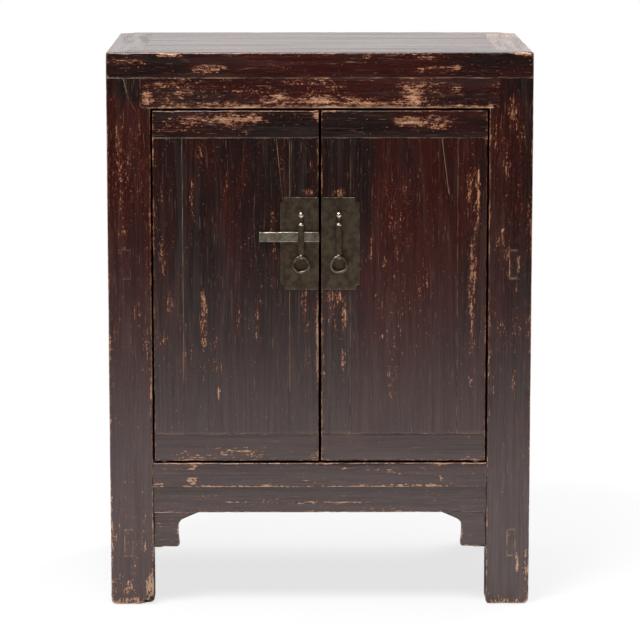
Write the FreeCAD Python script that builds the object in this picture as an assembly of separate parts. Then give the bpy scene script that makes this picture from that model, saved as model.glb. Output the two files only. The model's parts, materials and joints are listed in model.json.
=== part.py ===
"""Small two-door lacquered wood cabinet with wooden pivot hinges and a brass lock bar.

Millimetres. +Z is up, the doors face -Y and +X is to the right of someone facing them.
The origin is on the floor, in the middle of the overall box, handles included.
"""
import FreeCAD, Part
import math
import os

V = FreeCAD.Vector

# Overall size of the case
CABINET_WIDTH = 620.0
CABINET_HEIGHT = 820.0
CABINET_DEPTH = 420.0

# Posts
POST_WIDTH = 64.0
POST_DEPTH = 52.0
POST_ARRIS = 2.0
FOOT_CHAMFER = 4.0

# Top: a mitred frame round boards that are keyed to a batten below
TOP_FRAME_THICKNESS = 37.0
TOP_FRAME_WIDTH = 52.0
TOP_CORNER_RADIUS = 8.0
TOP_EDGE_RADIUS = 5.0
TOP_BOARD_THICKNESS = 16.0
TOP_BOARD_COUNT = 2
TOP_TONGUE_THICKNESS = 5.5
TOP_TONGUE_SETBACK = 8.0
TOP_BATTEN_WIDTH = 34.0
TOP_BATTEN_THICKNESS = 16.0
TOP_TENON_SETBACK = 30.0
TOP_TENON_WIDTH = 13.0
TOP_TENON_THICKNESS = 11.0
POST_TENON_WIDTH = 20.0
POST_TENON_THICKNESS = 14.0
POST_TENON_HEIGHT = 20.0
POST_TENON_INSET_X = 34.0
POST_TENON_INSET_Y = 9.0

# Front of the case
UPPER_RAIL_HEIGHT = 44.5
UPPER_RAIL_HOUSING = 15.0
FRONT_RAIL_THICKNESS = 34.0
SILL_TOP_HEIGHT = 215.0
SILL_HEIGHT = 36.5
APRON_HEIGHT = 40.0
APRON_THICKNESS = 18.0
APRON_SETBACK = 5.0
SPANDREL_DROP = 51.0
SPANDREL_LENGTH = 67.0
SPANDREL_FOOT_WIDTH = 38.0
SPANDREL_WAIST = 1.6
SPANDREL_COVE_DROP = 21.0
SPANDREL_FOOT_RADIUS = 4.5
FRONT_TENON_THICKNESS = 11.0
FRONT_TENON_SETBACK = 11.0
FRONT_TENON_SHOULDER = 8.0
UPPER_TENON_LENGTH = 13.0
SILL_TENON_LENGTH = 28.0
APRON_TONGUE = 6.0
APRON_TONGUE_THICKNESS = 7.0

# Sides: three rails with panels between them, the two lower rails tenoned right through the posts
SIDE_RAIL_SETBACK = 8.0
SIDE_RAIL_THICKNESS = 38.0
SIDE_TENON_THICKNESS = 13.5
SIDE_TENON_SHOULDER = 2.0
SIDE_UPPER_TENON_LENGTH = 20.0
SIDE_MIDDLE_RAIL_TOP = 534.0
SIDE_MIDDLE_RAIL_HEIGHT = 48.0
SIDE_LOWER_RAIL_TOP = 117.0
SIDE_LOWER_RAIL_HEIGHT = 46.0

# Back
REAR_RAIL_THICKNESS = 34.0
REAR_TENON_THICKNESS = 10.0
REAR_TENON_LENGTH = 24.0
REAR_TENON_SHOULDER = 4.0

# Panels of the sides and the back
PANEL_THICKNESS = 10.0
PANEL_INSERT = 7.0
PANEL_SETBACK = 11.0

# Inside
FLOOR_BOARD_THICKNESS = 14.0
FLOOR_BOARD_COUNT = 3
FLOOR_LEDGE = 12.0
SHELF_BOARD_THICKNESS = 14.0
SHELF_BOARD_COUNT = 3
SHELF_FRONT_SETBACK = 12.0
BOARD_GAP = 0.4
STOP_LENGTH = 120.0
STOP_DROP = 10.0
STOP_CLEARANCE = 0.4

# Doors
DOOR_THICKNESS = 24.0
DOOR_SIDE_GAP = 2.2
DOOR_MEETING_GAP = 3.0
DOOR_TOP_GAP = 2.5
DOOR_BOTTOM_GAP = 2.5
DOOR_STILE_WIDTH = 43.0
DOOR_TOP_RAIL_HEIGHT = 40.0
DOOR_BOTTOM_RAIL_HEIGHT = 41.0
DOOR_HINGE_ARRIS = 4.0
DOOR_PANEL_THICKNESS = 14.0
DOOR_TONGUE_THICKNESS = 6.0
DOOR_TONGUE_SETBACK = 5.0
DOOR_TONGUE_DEPTH = 7.0
DOOR_PANEL_FACE_GAP = 0.6
DOOR_TENON_THICKNESS = 9.0
DOOR_TENON_SETBACK = 8.0
DOOR_TENON_LENGTH = 26.0
DOOR_TENON_EDGE = 9.0
DOOR_BATTEN_WIDTH = 34.0
DOOR_BATTEN_THICKNESS = 8.0
DOOR_BATTEN_TENON = 8.0
DOOR_BATTEN_BELOW_MIDDLE = 56.0

# Wooden pivots of the doors
PIVOT_RADIUS = 6.0
PIVOT_FROM_EDGE = 14.0
PIVOT_FROM_FRONT = 9.0
PIVOT_CLEARANCE = 0.25
UPPER_PIVOT_LENGTH = 14.0
LOWER_PIVOT_LENGTH = 8.0
LIFT_OFF_ROOM = 7.0
PIVOT_END_CLEARANCE = 0.3

# Keys that hold boards to their battens
KEY_WIDTH = 16.0
KEY_FLARE = 2.0
KEY_DEPTH = 4.0

# Brass plates, staples, rings and lock bar
PLATE_WIDTH = 56.0
PLATE_HEIGHT = 136.0
PLATE_THICKNESS = 1.2
PLATE_ABOVE_DOOR_MIDDLE = 64.25
PLATE_EDGE_INSET = 0.4
PLATE_NOTCH_WIDTH = 6.0
PLATE_NOTCH_HEIGHT = 7.5
PLATE_NOTCH_SLANT = 1.5
STAPLE_FROM_EDGE = 26.0
STRAP_WIDTH = 8.5
STRAP_THICKNESS = 2.6
STRAP_ABOVE_LEG = 2.5
LEG_WIDTH = 4.5
LEG_HEIGHT = 5.0
CLINCH_LENGTH = 12.0
CLINCH_THICKNESS = 1.6
LOOP_ABOVE_PLATE_MIDDLE = 10.5
BAR_LENGTH = 88.0
BAR_HEIGHT = 15.0
BAR_THICKNESS = 5.0
BAR_EDGE_RADIUS = 1.2
BAR_SIDE_PLAY = 0.6
BAR_HEIGHT_PLAY = 2.0
BAR_DRAWN_CLEARANCE = 1.0
COLLAR_RADIUS = 4.6
COLLAR_HEIGHT = 4.0
COLLAR_STEPS = 2
NECK_RADIUS = 2.4
NECK_HEIGHT = 8.5
BALL_RADIUS = 4.3
BALL_STEPS = 5
EYE_RADIUS = 4.5
EYE_HOLE_RADIUS = 2.4
EYE_LENGTH = 6.0
EYE_FROM_PLATE = 5.2
EYE_BELOW_PLATE_MIDDLE = 18.5
RING_RADIUS = 11.6
RING_WIRE_RADIUS = 1.4
RING_SIDES = 6

# Room left in the joints of the wood
JOINT_CLEARANCE = 0.2
JOINT_END_ROOM = 1.0

# A length below which two places count as the same
SAME_PLACE = 0.001

# Values worked out from the sizes above, for the left half where there are two
handle_projection = (PLATE_THICKNESS + BAR_THICKNESS + 2 * BAR_SIDE_PLAY
                     + STRAP_THICKNESS / 2 + max(BALL_RADIUS, COLLAR_RADIUS))
half_width = CABINET_WIDTH / 2
front = (handle_projection - CABINET_DEPTH) / 2
back = front + CABINET_DEPTH
post_front = front + POST_DEPTH
post_back = back - POST_DEPTH
post_inside = POST_WIDTH - half_width
case_top = CABINET_HEIGHT - TOP_FRAME_THICKNESS
opening_top = case_top - UPPER_RAIL_HEIGHT
sill_bottom = SILL_TOP_HEIGHT - SILL_HEIGHT
apron_bottom = sill_bottom - APRON_HEIGHT
side_rail = (SIDE_RAIL_SETBACK - half_width, SIDE_RAIL_SETBACK + SIDE_RAIL_THICKNESS - half_width)
side_rail_middle = sum(side_rail) / 2
side_panel_outside = side_rail[0] + PANEL_SETBACK
side_panel_inside = side_panel_outside + PANEL_THICKNESS
rear_panel_front = back - PANEL_SETBACK - PANEL_THICKNESS
rear_rail = (back - REAR_RAIL_THICKNESS, back)
front_rail = (front, front + FRONT_RAIL_THICKNESS)
upper_rail_height = (opening_top, case_top)
middle_rail_height = (SIDE_MIDDLE_RAIL_TOP - SIDE_MIDDLE_RAIL_HEIGHT, SIDE_MIDDLE_RAIL_TOP)
lower_rail_height = (SIDE_LOWER_RAIL_TOP - SIDE_LOWER_RAIL_HEIGHT, SIDE_LOWER_RAIL_TOP)
sill_height = (sill_bottom, SILL_TOP_HEIGHT)

door_x = (post_inside + DOOR_SIDE_GAP, -DOOR_MEETING_GAP / 2)
door_y = (front, front + DOOR_THICKNESS)
door_z = (SILL_TOP_HEIGHT + DOOR_BOTTOM_GAP, opening_top - DOOR_TOP_GAP)
door_field_x = (door_x[0] + DOOR_STILE_WIDTH, door_x[1] - DOOR_STILE_WIDTH)
door_field_z = (door_z[0] + DOOR_BOTTOM_RAIL_HEIGHT, door_z[1] - DOOR_TOP_RAIL_HEIGHT)
pivot_x = door_x[0] + PIVOT_FROM_EDGE
pivot_y = front + PIVOT_FROM_FRONT
door_middle = sum(door_z) / 2
batten_height = door_middle - DOOR_BATTEN_BELOW_MIDDLE

plate_x = (door_x[1] - PLATE_EDGE_INSET - PLATE_WIDTH, door_x[1] - PLATE_EDGE_INSET)
plate_y = (front - PLATE_THICKNESS, front)
plate_middle = door_middle + PLATE_ABOVE_DOOR_MIDDLE
plate_z = (plate_middle - PLATE_HEIGHT / 2, plate_middle + PLATE_HEIGHT / 2)
staple_x = door_x[1] - STAPLE_FROM_EDGE
bar_y = (plate_y[0] - BAR_SIDE_PLAY - BAR_THICKNESS, plate_y[0] - BAR_SIDE_PLAY)
strap_y = (bar_y[0] - BAR_SIDE_PLAY - STRAP_THICKNESS, bar_y[0] - BAR_SIDE_PLAY)
loop_middle = plate_middle + LOOP_ABOVE_PLATE_MIDDLE
loop_half_height = BAR_HEIGHT / 2 + BAR_HEIGHT_PLAY
upper_leg_z = (loop_middle + loop_half_height, loop_middle + loop_half_height + LEG_HEIGHT)
lower_leg_z = (loop_middle - loop_half_height - LEG_HEIGHT, loop_middle - loop_half_height)
leg_x = (staple_x - LEG_WIDTH / 2, staple_x + LEG_WIDTH / 2)
eye_y = plate_y[0] - EYE_FROM_PLATE
eye_height = plate_middle - EYE_BELOW_PLATE_MIDDLE


def block(x, y, z):
    """A box from its (low, high) spans along the three axes."""
    return Part.makeBox(x[1] - x[0], y[1] - y[0], z[1] - z[0], V(x[0], y[0], z[0]))


def grown(span, by):
    """A span made longer at both ends, or shorter where by is negative."""
    return (span[0] - by, span[1] + by)


def centred(middle, length):
    """The span of a length about its middle."""
    return (middle - length / 2, middle + length / 2)


def prism(points, travel):
    """A straight-sided outline carried along a vector."""
    return Part.Face(Part.makePolygon(points + points[:1])).extrude(travel)


def edges_along(solid, axis, **at):
    """The edges that run along an axis where the other coordinates have the given values."""
    picked = []
    for edge in solid.Edges:
        box = edge.BoundBox
        spans = {"x": (box.XMin, box.XMax), "y": (box.YMin, box.YMax), "z": (box.ZMin, box.ZMax)}
        placed = all(abs(end - value) < SAME_PLACE for name, value in at.items() for end in spans[name])
        if placed and spans[axis][1] - spans[axis][0] > SAME_PLACE:
            picked.append(edge)
    return picked


def rounded(solid, radius, axis, **at):
    """Round the edges that run along an axis where the other coordinates have the given values."""
    return solid.makeFillet(radius, edges_along(solid, axis, **at))


def mirrored(solid):
    """The other side's copy of a left-hand piece."""
    return solid.mirror(V(0, 0, 0), V(1, 0, 0))


def flipped_back(solid):
    """The rear copy of a piece at the front of the case."""
    return solid.mirror(V(0, (front + back) / 2, 0), V(0, 1, 0))


def inserted_panel(x, y, z, thin):
    """A panel let into the four members round it, with its corners cut away for their tenons.

    thin names the axis across the panel; the other two grow by the insert, one at a time.
    """
    spans = {"x": x, "y": y, "z": z}
    arms = []
    for axis in spans:
        if axis != thin:
            arm = dict(spans)
            arm[axis] = grown(spans[axis], PANEL_INSERT)
            arms.append(block(arm["x"], arm["y"], arm["z"]))
    return arms[0].fuse(arms[1]).removeSplitter()


def panel_groove(x, y, z, thin):
    """The room that an inserted panel takes in its members, with its clearances."""
    spans = {"x": x, "y": y, "z": z}
    spans[thin] = grown(spans[thin], JOINT_CLEARANCE)
    arms = []
    for axis in spans:
        if axis != thin:
            arm = dict(spans)
            arm[axis] = grown(spans[axis], PANEL_INSERT + JOINT_END_ROOM)
            arms.append(block(arm["x"], arm["y"], arm["z"]))
    return arms[0].fuse(arms[1])


def key_outline(width, thickness, room):
    """Batten section: a flat bar under the boards and a flared key let into them.

    The first number runs across the batten, the second into the boards from their face.
    room widens and deepens the key for the housing that takes it.
    """
    neck = KEY_WIDTH / 2 + room
    head = neck + KEY_FLARE
    depth = KEY_DEPTH + room
    edge = width / 2
    return [(-edge, -thickness), (edge, -thickness), (edge, 0), (neck, 0), (head, depth),
            (-head, depth), (-neck, 0), (-edge, 0)]


# Tenons: each is made once, fused to its member and cut from the post with a clearance

def upper_rail_tenon(room=0.0, end_room=0.0):
    """Left tenon of the front upper rail, past the end that is housed in the post."""
    end = post_inside - UPPER_RAIL_HOUSING
    y = (front + FRONT_TENON_SETBACK, front + FRONT_TENON_SETBACK + FRONT_TENON_THICKNESS)
    z = grown(upper_rail_height, -FRONT_TENON_SHOULDER)
    return block((end - UPPER_TENON_LENGTH - end_room, end), grown(y, room), grown(z, room))


def sill_tenon(room=0.0, end_room=0.0):
    """Left tenon of the sill rail under the doors."""
    y = (front + FRONT_TENON_SETBACK, front + FRONT_TENON_SETBACK + FRONT_TENON_THICKNESS)
    z = grown(sill_height, -FRONT_TENON_SHOULDER)
    return block((post_inside - SILL_TENON_LENGTH - end_room, post_inside), grown(y, room), grown(z, room))


def apron_tongue_y(room=0.0):
    """Span across the tongue that the apron and the spandrels share."""
    return grown(centred(front + APRON_SETBACK + APRON_THICKNESS / 2, APRON_TONGUE_THICKNESS), room)


def side_tenon(height, length, room=0.0, end_room=0.0):
    """Front tenon of a left side rail; a length of the post's depth goes right through."""
    x = centred(side_rail_middle, SIDE_TENON_THICKNESS)
    z = grown(height, -SIDE_TENON_SHOULDER)
    return block(grown(x, room), (post_front - length - end_room, post_front), grown(z, room))


def rear_tenon(height, room=0.0, end_room=0.0):
    """Left tenon of a rear rail."""
    y = centred(sum(rear_rail) / 2, REAR_TENON_THICKNESS)
    z = grown(height, -REAR_TENON_SHOULDER)
    return block((post_inside - REAR_TENON_LENGTH - end_room, post_inside), grown(y, room), grown(z, room))


def post_tenon(room=0.0, end_room=0.0):
    """Tenon on top of the left front post, inside the front member of the top frame."""
    x = (POST_TENON_INSET_X - half_width, POST_TENON_INSET_X + POST_TENON_WIDTH - half_width)
    y = (front + POST_TENON_INSET_Y, front + POST_TENON_INSET_Y + POST_TENON_THICKNESS)
    return block(grown(x, room), grown(y, room), (case_top, case_top + POST_TENON_HEIGHT + end_room))


# Spaces of the panels

side_field_y = (post_front, post_back)
side_panel_x = (side_panel_outside, side_panel_inside)
upper_field_z = (SIDE_MIDDLE_RAIL_TOP, opening_top)
lower_field_z = (SIDE_LOWER_RAIL_TOP, middle_rail_height[0])
rear_field_x = (post_inside, -post_inside)
rear_panel_y = (rear_panel_front, rear_panel_front + PANEL_THICKNESS)
rear_lower_field_z = (SILL_TOP_HEIGHT, middle_rail_height[0])


def side_grooves():
    """Grooves for both panels of the left side."""
    upper = panel_groove(side_panel_x, side_field_y, upper_field_z, "x")
    return upper.fuse(panel_groove(side_panel_x, side_field_y, lower_field_z, "x"))


def rear_grooves():
    """Grooves for both panels of the back."""
    upper = panel_groove(rear_field_x, rear_panel_y, upper_field_z, "y")
    return upper.fuse(panel_groove(rear_field_x, rear_panel_y, rear_lower_field_z, "y"))


def plain_post():
    """Left front post before its mortises: eased arrises, a chamfered foot and the tenon on top."""
    x = (-half_width, post_inside)
    body = block(x, (front, post_front), (0, case_top))
    foot_edges = [edge for edge in body.Edges if edge.BoundBox.ZMax < SAME_PLACE]
    body = body.makeChamfer(FOOT_CHAMFER, foot_edges)
    body = body.makeChamfer(POST_ARRIS, edges_along(body, "z", x=-half_width))
    return body.fuse(post_tenon())


def side_mortises():
    """Mortises in a left front post for the three rails of the side."""
    upper = side_tenon(upper_rail_height, SIDE_UPPER_TENON_LENGTH, JOINT_CLEARANCE, JOINT_END_ROOM)
    middle = side_tenon(middle_rail_height, POST_DEPTH, JOINT_CLEARANCE, JOINT_END_ROOM)
    lower = side_tenon(lower_rail_height, POST_DEPTH, JOINT_CLEARANCE, JOINT_END_ROOM)
    return upper.fuse([middle, lower])


def front_post():
    """Left front post with its housing, mortises and grooves."""
    post = plain_post().cut(side_mortises()).cut(side_grooves())
    housing = block((post_inside - UPPER_RAIL_HOUSING, post_inside), front_rail, upper_rail_height)
    post = post.cut(housing).cut(upper_rail_tenon(JOINT_CLEARANCE, JOINT_END_ROOM))
    post = post.cut(sill_tenon(JOINT_CLEARANCE, JOINT_END_ROOM))
    tongue_z = grown((apron_bottom - SPANDREL_DROP, sill_bottom), JOINT_CLEARANCE)
    tongue_x = (post_inside - APRON_TONGUE - JOINT_END_ROOM, post_inside)
    return post.cut(block(tongue_x, apron_tongue_y(JOINT_CLEARANCE), tongue_z))


def rear_post():
    """Left rear post with its mortises and grooves."""
    post = flipped_back(plain_post().cut(side_mortises())).cut(side_grooves()).cut(rear_grooves())
    for height in (upper_rail_height, middle_rail_height, sill_height):
        post = post.cut(rear_tenon(height, JOINT_CLEARANCE, JOINT_END_ROOM))
    return post


# The top

def top_slab():
    """The whole top as one plate with soft corners and a worn upper edge."""
    slab = block((-half_width, half_width), (front, back), (case_top, CABINET_HEIGHT))
    corners = [edge for edge in slab.Edges if edge.BoundBox.ZLength > SAME_PLACE]
    slab = slab.makeFillet(TOP_CORNER_RADIUS, corners)
    rim = [edge for edge in slab.Edges if edge.BoundBox.ZMin > CABINET_HEIGHT - SAME_PLACE]
    return slab.makeFillet(TOP_EDGE_RADIUS, rim)


top_field_x = (TOP_FRAME_WIDTH - half_width, half_width - TOP_FRAME_WIDTH)
top_field_y = (front + TOP_FRAME_WIDTH, back - TOP_FRAME_WIDTH)
top_board_z = (CABINET_HEIGHT - TOP_BOARD_THICKNESS, CABINET_HEIGHT)
top_tongue_top = CABINET_HEIGHT - TOP_TONGUE_SETBACK
top_tongue_z = (top_tongue_top - TOP_TONGUE_THICKNESS, top_tongue_top)
top_board_width = (top_field_y[1] - top_field_y[0]) / TOP_BOARD_COUNT


def top_tenon(room=0.0):
    """Left tenon of the top's front member, through the end member to the outside."""
    z = centred(case_top + TOP_FRAME_THICKNESS / 2, TOP_TENON_THICKNESS)
    y = (front + TOP_TENON_SETBACK, front + TOP_TENON_SETBACK + TOP_TENON_WIDTH)
    return block((-half_width, TOP_FRAME_WIDTH - half_width), grown(y, room), grown(z, room))


def top_panel_groove():
    """Groove inside the top frame for the tongues of the boards."""
    reach = PANEL_INSERT + JOINT_END_ROOM
    return block(grown(top_field_x, reach), grown(top_field_y, reach), grown(top_tongue_z, JOINT_CLEARANCE))


def top_batten_shape(room=0.0, end_room=0.0):
    """Batten under the boards, from the front member's housing to the rear one's."""
    reach = (top_field_y[0] - PANEL_INSERT - end_room, top_field_y[1] + PANEL_INSERT + end_room)
    outline = key_outline(TOP_BATTEN_WIDTH + 2 * room, TOP_BATTEN_THICKNESS + room, room)
    points = [V(across, reach[0], top_board_z[0] + up) for across, up in outline]
    return prism(points, V(0, reach[1] - reach[0], 0))


def front_top_member():
    """Front member of the top frame with mitred ends and its two through tenons."""
    inner = top_field_x[1]
    travel = V(0, 0, TOP_FRAME_THICKNESS)
    mitred = prism([V(-half_width, front, case_top), V(half_width, front, case_top),
                    V(inner, top_field_y[0], case_top), V(-inner, top_field_y[0], case_top)], travel)
    tenons = top_tenon().fuse(mirrored(top_tenon()))
    member = mitred.fuse(tenons).common(top_slab())
    sockets = post_tenon(JOINT_CLEARANCE, JOINT_END_ROOM)
    member = member.cut(top_panel_groove()).cut(sockets).cut(mirrored(sockets))
    return member.cut(top_batten_shape(JOINT_CLEARANCE, JOINT_END_ROOM)).removeSplitter()


def left_top_member():
    """Left end member of the top frame, with mortises for the tenons of the long members."""
    travel = V(0, 0, TOP_FRAME_THICKNESS)
    inner = top_field_x[0]
    mitred = prism([V(-half_width, front, case_top), V(inner, top_field_y[0], case_top),
                    V(inner, top_field_y[1], case_top), V(-half_width, back, case_top)], travel)
    mortise = top_tenon(JOINT_CLEARANCE)
    member = mitred.common(top_slab()).cut(top_panel_groove())
    return member.cut(mortise).cut(flipped_back(mortise))


def top_board(index):
    """One board of the top: flush above, tongued round its outer edges, keyed to the batten."""
    low = top_field_y[0] + index * top_board_width
    y = (low, low + top_board_width)
    face = block(grown(top_field_x, -BOARD_GAP), grown(y, -BOARD_GAP / 2), top_board_z)
    tongue_y = (y[0] - PANEL_INSERT if index == 0 else y[0] + BOARD_GAP / 2,
                y[1] + PANEL_INSERT if index == TOP_BOARD_COUNT - 1 else y[1] - BOARD_GAP / 2)
    tongue = block(grown(top_field_x, PANEL_INSERT), tongue_y, top_tongue_z)
    return face.fuse(tongue).removeSplitter().cut(top_batten_shape(JOINT_CLEARANCE, JOINT_END_ROOM))


# Front of the case

def upper_rail():
    """Front rail under the top, housed in the posts, with a pivot socket over each door."""
    reach = post_inside - UPPER_RAIL_HOUSING
    rail = block((reach, -reach), front_rail, upper_rail_height)
    rail = rail.fuse([upper_rail_tenon(), mirrored(upper_rail_tenon())])
    depth = UPPER_PIVOT_LENGTH - DOOR_TOP_GAP + LIFT_OFF_ROOM
    socket = Part.makeCylinder(PIVOT_RADIUS + PIVOT_CLEARANCE, depth, V(pivot_x, pivot_y, opening_top))
    return rail.cut(socket).cut(mirrored(socket)).removeSplitter()


def sill_rail():
    """Rail under the doors with lower pivot sockets, a ledge for the floor and the apron's groove."""
    rail = block((post_inside, -post_inside), front_rail, sill_height)
    rail = rail.fuse([sill_tenon(), mirrored(sill_tenon())])
    depth = LOWER_PIVOT_LENGTH - DOOR_BOTTOM_GAP + PIVOT_END_CLEARANCE
    base = V(pivot_x, pivot_y, SILL_TOP_HEIGHT - depth)
    socket = Part.makeCylinder(PIVOT_RADIUS + PIVOT_CLEARANCE, depth, base)
    ledge = block((post_inside, -post_inside), (front_rail[1] - FLOOR_LEDGE, front_rail[1]),
                  (SILL_TOP_HEIGHT - FLOOR_BOARD_THICKNESS, SILL_TOP_HEIGHT))
    groove = block((post_inside, -post_inside), apron_tongue_y(JOINT_CLEARANCE),
                   (sill_bottom, sill_bottom + APRON_TONGUE + JOINT_END_ROOM))
    return rail.cut(socket).cut(mirrored(socket)).cut(ledge).cut(groove).removeSplitter()


def apron():
    """Straight apron under the sill, tongued into the sill and into both posts."""
    y = (front + APRON_SETBACK, front + APRON_SETBACK + APRON_THICKNESS)
    board = block((post_inside, -post_inside), y, (apron_bottom, sill_bottom))
    tongue_z = (sill_bottom, sill_bottom + APRON_TONGUE)
    top_tongue = block((post_inside, -post_inside), apron_tongue_y(), tongue_z)
    end_reach = APRON_TONGUE - post_inside
    end_tongues = block((-end_reach, end_reach), apron_tongue_y(), (apron_bottom, sill_bottom))
    return board.fuse([top_tongue, end_tongues]).removeSplitter()


def spandrel():
    """Left corner bracket below the apron: a cove, a slight waist and a soft foot."""
    y = front + APRON_SETBACK
    foot = SPANDREL_FOOT_WIDTH
    radius = SPANDREL_FOOT_RADIUS
    corner = radius * (1 - math.sqrt(0.5))

    def at(length, drop):
        return V(post_inside + length, y, apron_bottom - drop)

    # The cove leaves the apron level, so its centre is straight below its upper end
    cove_end = foot - SPANDREL_WAIST
    cove_reach = SPANDREL_LENGTH - cove_end
    cove_radius = (cove_reach ** 2 + SPANDREL_COVE_DROP ** 2) / (2 * SPANDREL_COVE_DROP)
    half_turn = math.atan2(cove_reach, cove_radius - SPANDREL_COVE_DROP) / 2
    cove_middle = at(SPANDREL_LENGTH - cove_radius * math.sin(half_turn),
                     cove_radius - cove_radius * math.cos(half_turn))
    edges = [
        Part.makeLine(at(0, 0), at(SPANDREL_LENGTH, 0)),
        Part.Arc(at(SPANDREL_LENGTH, 0), cove_middle, at(cove_end, SPANDREL_COVE_DROP)).toShape(),
        Part.makeLine(at(cove_end, SPANDREL_COVE_DROP), at(foot, SPANDREL_DROP - radius)),
        Part.Arc(at(foot, SPANDREL_DROP - radius), at(foot - corner, SPANDREL_DROP - corner),
                 at(foot - radius, SPANDREL_DROP)).toShape(),
        Part.makeLine(at(foot - radius, SPANDREL_DROP), at(0, SPANDREL_DROP)),
        Part.makeLine(at(0, SPANDREL_DROP), at(0, 0)),
    ]
    bracket = Part.Face(Part.Wire(edges)).extrude(V(0, APRON_THICKNESS, 0))
    tongue = block((post_inside - APRON_TONGUE, post_inside), apron_tongue_y(),
                   (apron_bottom - SPANDREL_DROP, apron_bottom))
    return bracket.fuse(tongue).removeSplitter()


# Sides, back and inside

def side_member(height, tenon_length):
    """A rail of the left side with a tenon at each end and grooves for the panels."""
    rail = block(side_rail, side_field_y, height)
    tenon = side_tenon(height, tenon_length)
    rail = rail.fuse([tenon, flipped_back(tenon)])
    return rail.removeSplitter().cut(side_grooves())


def rear_member(height):
    """A rail of the back with blind tenons and grooves for the panels."""
    rail = block((post_inside, -post_inside), rear_rail, height)
    rail = rail.fuse([rear_tenon(height), mirrored(rear_tenon(height))])
    return rail.removeSplitter().cut(rear_grooves())


def rear_sill():
    """Lower rail of the back, with a ledge for the floor."""
    ledge = block((post_inside, -post_inside), (rear_rail[0], rear_rail[0] + FLOOR_LEDGE),
                  (SILL_TOP_HEIGHT - FLOOR_BOARD_THICKNESS, SILL_TOP_HEIGHT))
    return rear_member(sill_height).cut(ledge)


def post_footprints(height):
    """The four posts' outlines with a little room, to notch boards round them."""
    room = BOARD_GAP
    corner = block((-half_width, post_inside + room), (front, post_front + room), height)
    left = corner.fuse(flipped_back(corner))
    return left.fuse(mirrored(left))


def floor_board(index):
    """One board of the floor, running from the sill's ledge to the rear rail's ledge."""
    reach = side_panel_inside + BOARD_GAP
    width = -2 * reach / FLOOR_BOARD_COUNT
    x = (reach + index * width, reach + (index + 1) * width)
    y = (front_rail[1] - FLOOR_LEDGE + BOARD_GAP, rear_rail[0] + FLOOR_LEDGE - BOARD_GAP)
    z = (SILL_TOP_HEIGHT - FLOOR_BOARD_THICKNESS, SILL_TOP_HEIGHT)
    return block(grown(x, -BOARD_GAP / 2), y, z).cut(post_footprints(z))


def shelf_board(index):
    """One board of the shelf, lying on the middle rails of the two sides."""
    reach = side_panel_inside + BOARD_GAP
    y_front = front + DOOR_THICKNESS + SHELF_FRONT_SETBACK
    width = (rear_panel_front - BOARD_GAP - y_front) / SHELF_BOARD_COUNT
    y = (y_front + index * width, y_front + (index + 1) * width)
    z = (SIDE_MIDDLE_RAIL_TOP, SIDE_MIDDLE_RAIL_TOP + SHELF_BOARD_THICKNESS)
    return block((reach, -reach), grown(y, -BOARD_GAP / 2), z).cut(post_footprints(z))


def door_stop():
    """Strip under the upper rail that the doors close against."""
    y = (door_y[1] + STOP_CLEARANCE, front_rail[1])
    return block(centred(0, STOP_LENGTH), y, (opening_top - STOP_DROP, opening_top))


# Left door

def door_groove():
    """Groove round the door's field for the tongue of its panel."""
    y = (front + DOOR_TONGUE_SETBACK, front + DOOR_TONGUE_SETBACK + DOOR_TONGUE_THICKNESS)
    reach = DOOR_TONGUE_DEPTH + JOINT_END_ROOM
    return block(grown(door_field_x, reach), grown(y, JOINT_CLEARANCE), grown(door_field_z, reach))


def door_stile_tenon(low, room=0.0, end_room=0.0):
    """Tenon of the meeting stile into a door rail; low is True for the bottom one."""
    x = (door_field_x[1] + DOOR_TONGUE_DEPTH + 2 * JOINT_END_ROOM, door_x[1] - DOOR_TENON_EDGE)
    y = (front + DOOR_TENON_SETBACK, front + DOOR_TENON_SETBACK + DOOR_TENON_THICKNESS)
    length = DOOR_TENON_LENGTH + end_room
    z = (door_field_z[0] - length, door_field_z[0]) if low else (door_field_z[1], door_field_z[1] + length)
    return block(grown(x, room), grown(y, room), z)


def door_batten_shape(room=0.0, end_room=0.0):
    """Batten behind the door's panel, let into both stiles."""
    reach = grown(door_field_x, DOOR_BATTEN_TENON + end_room)
    outline = key_outline(DOOR_BATTEN_WIDTH + 2 * room, DOOR_BATTEN_THICKNESS + room, room)
    face = front + DOOR_PANEL_THICKNESS
    points = [V(reach[0], face - into, batten_height + across) for across, into in outline]
    return prism(points, V(reach[1] - reach[0], 0, 0))


def door_rail(low):
    """Top or bottom rail of the door, across its whole width, bored for the pivot."""
    z = (door_z[0], door_field_z[0]) if low else (door_field_z[1], door_z[1])
    rail = rounded(block(door_x, door_y, z), DOOR_HINGE_ARRIS, "z", x=door_x[0], y=front)
    bore = Part.makeCylinder(PIVOT_RADIUS + JOINT_CLEARANCE, z[1] - z[0], V(pivot_x, pivot_y, z[0]))
    return rail.cut(bore).cut(door_groove()).cut(door_stile_tenon(low, JOINT_CLEARANCE, JOINT_END_ROOM))


def hinge_stile():
    """Outer stile; its round ends pass through both rails and turn in the case's sockets."""
    x = (door_x[0], door_field_x[0])
    stile = rounded(block(x, door_y, door_field_z), DOOR_HINGE_ARRIS, "z", x=door_x[0], y=front)
    low = V(pivot_x, pivot_y, door_z[0] - LOWER_PIVOT_LENGTH)
    lower_pin = Part.makeCylinder(PIVOT_RADIUS, door_field_z[0] - low.z, low)
    high = V(pivot_x, pivot_y, door_field_z[1])
    upper_pin = Part.makeCylinder(PIVOT_RADIUS, door_z[1] + UPPER_PIVOT_LENGTH - high.z, high)
    stile = stile.fuse([lower_pin, upper_pin])
    return stile.cut(door_groove()).cut(door_batten_shape(JOINT_CLEARANCE, JOINT_END_ROOM))


def staple_leg(z, room=0.0):
    """One leg of the staple, from its strap to the back of the stile."""
    return block(grown(leg_x, room), (strap_y[0], door_y[1]), grown(z, room))


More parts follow.
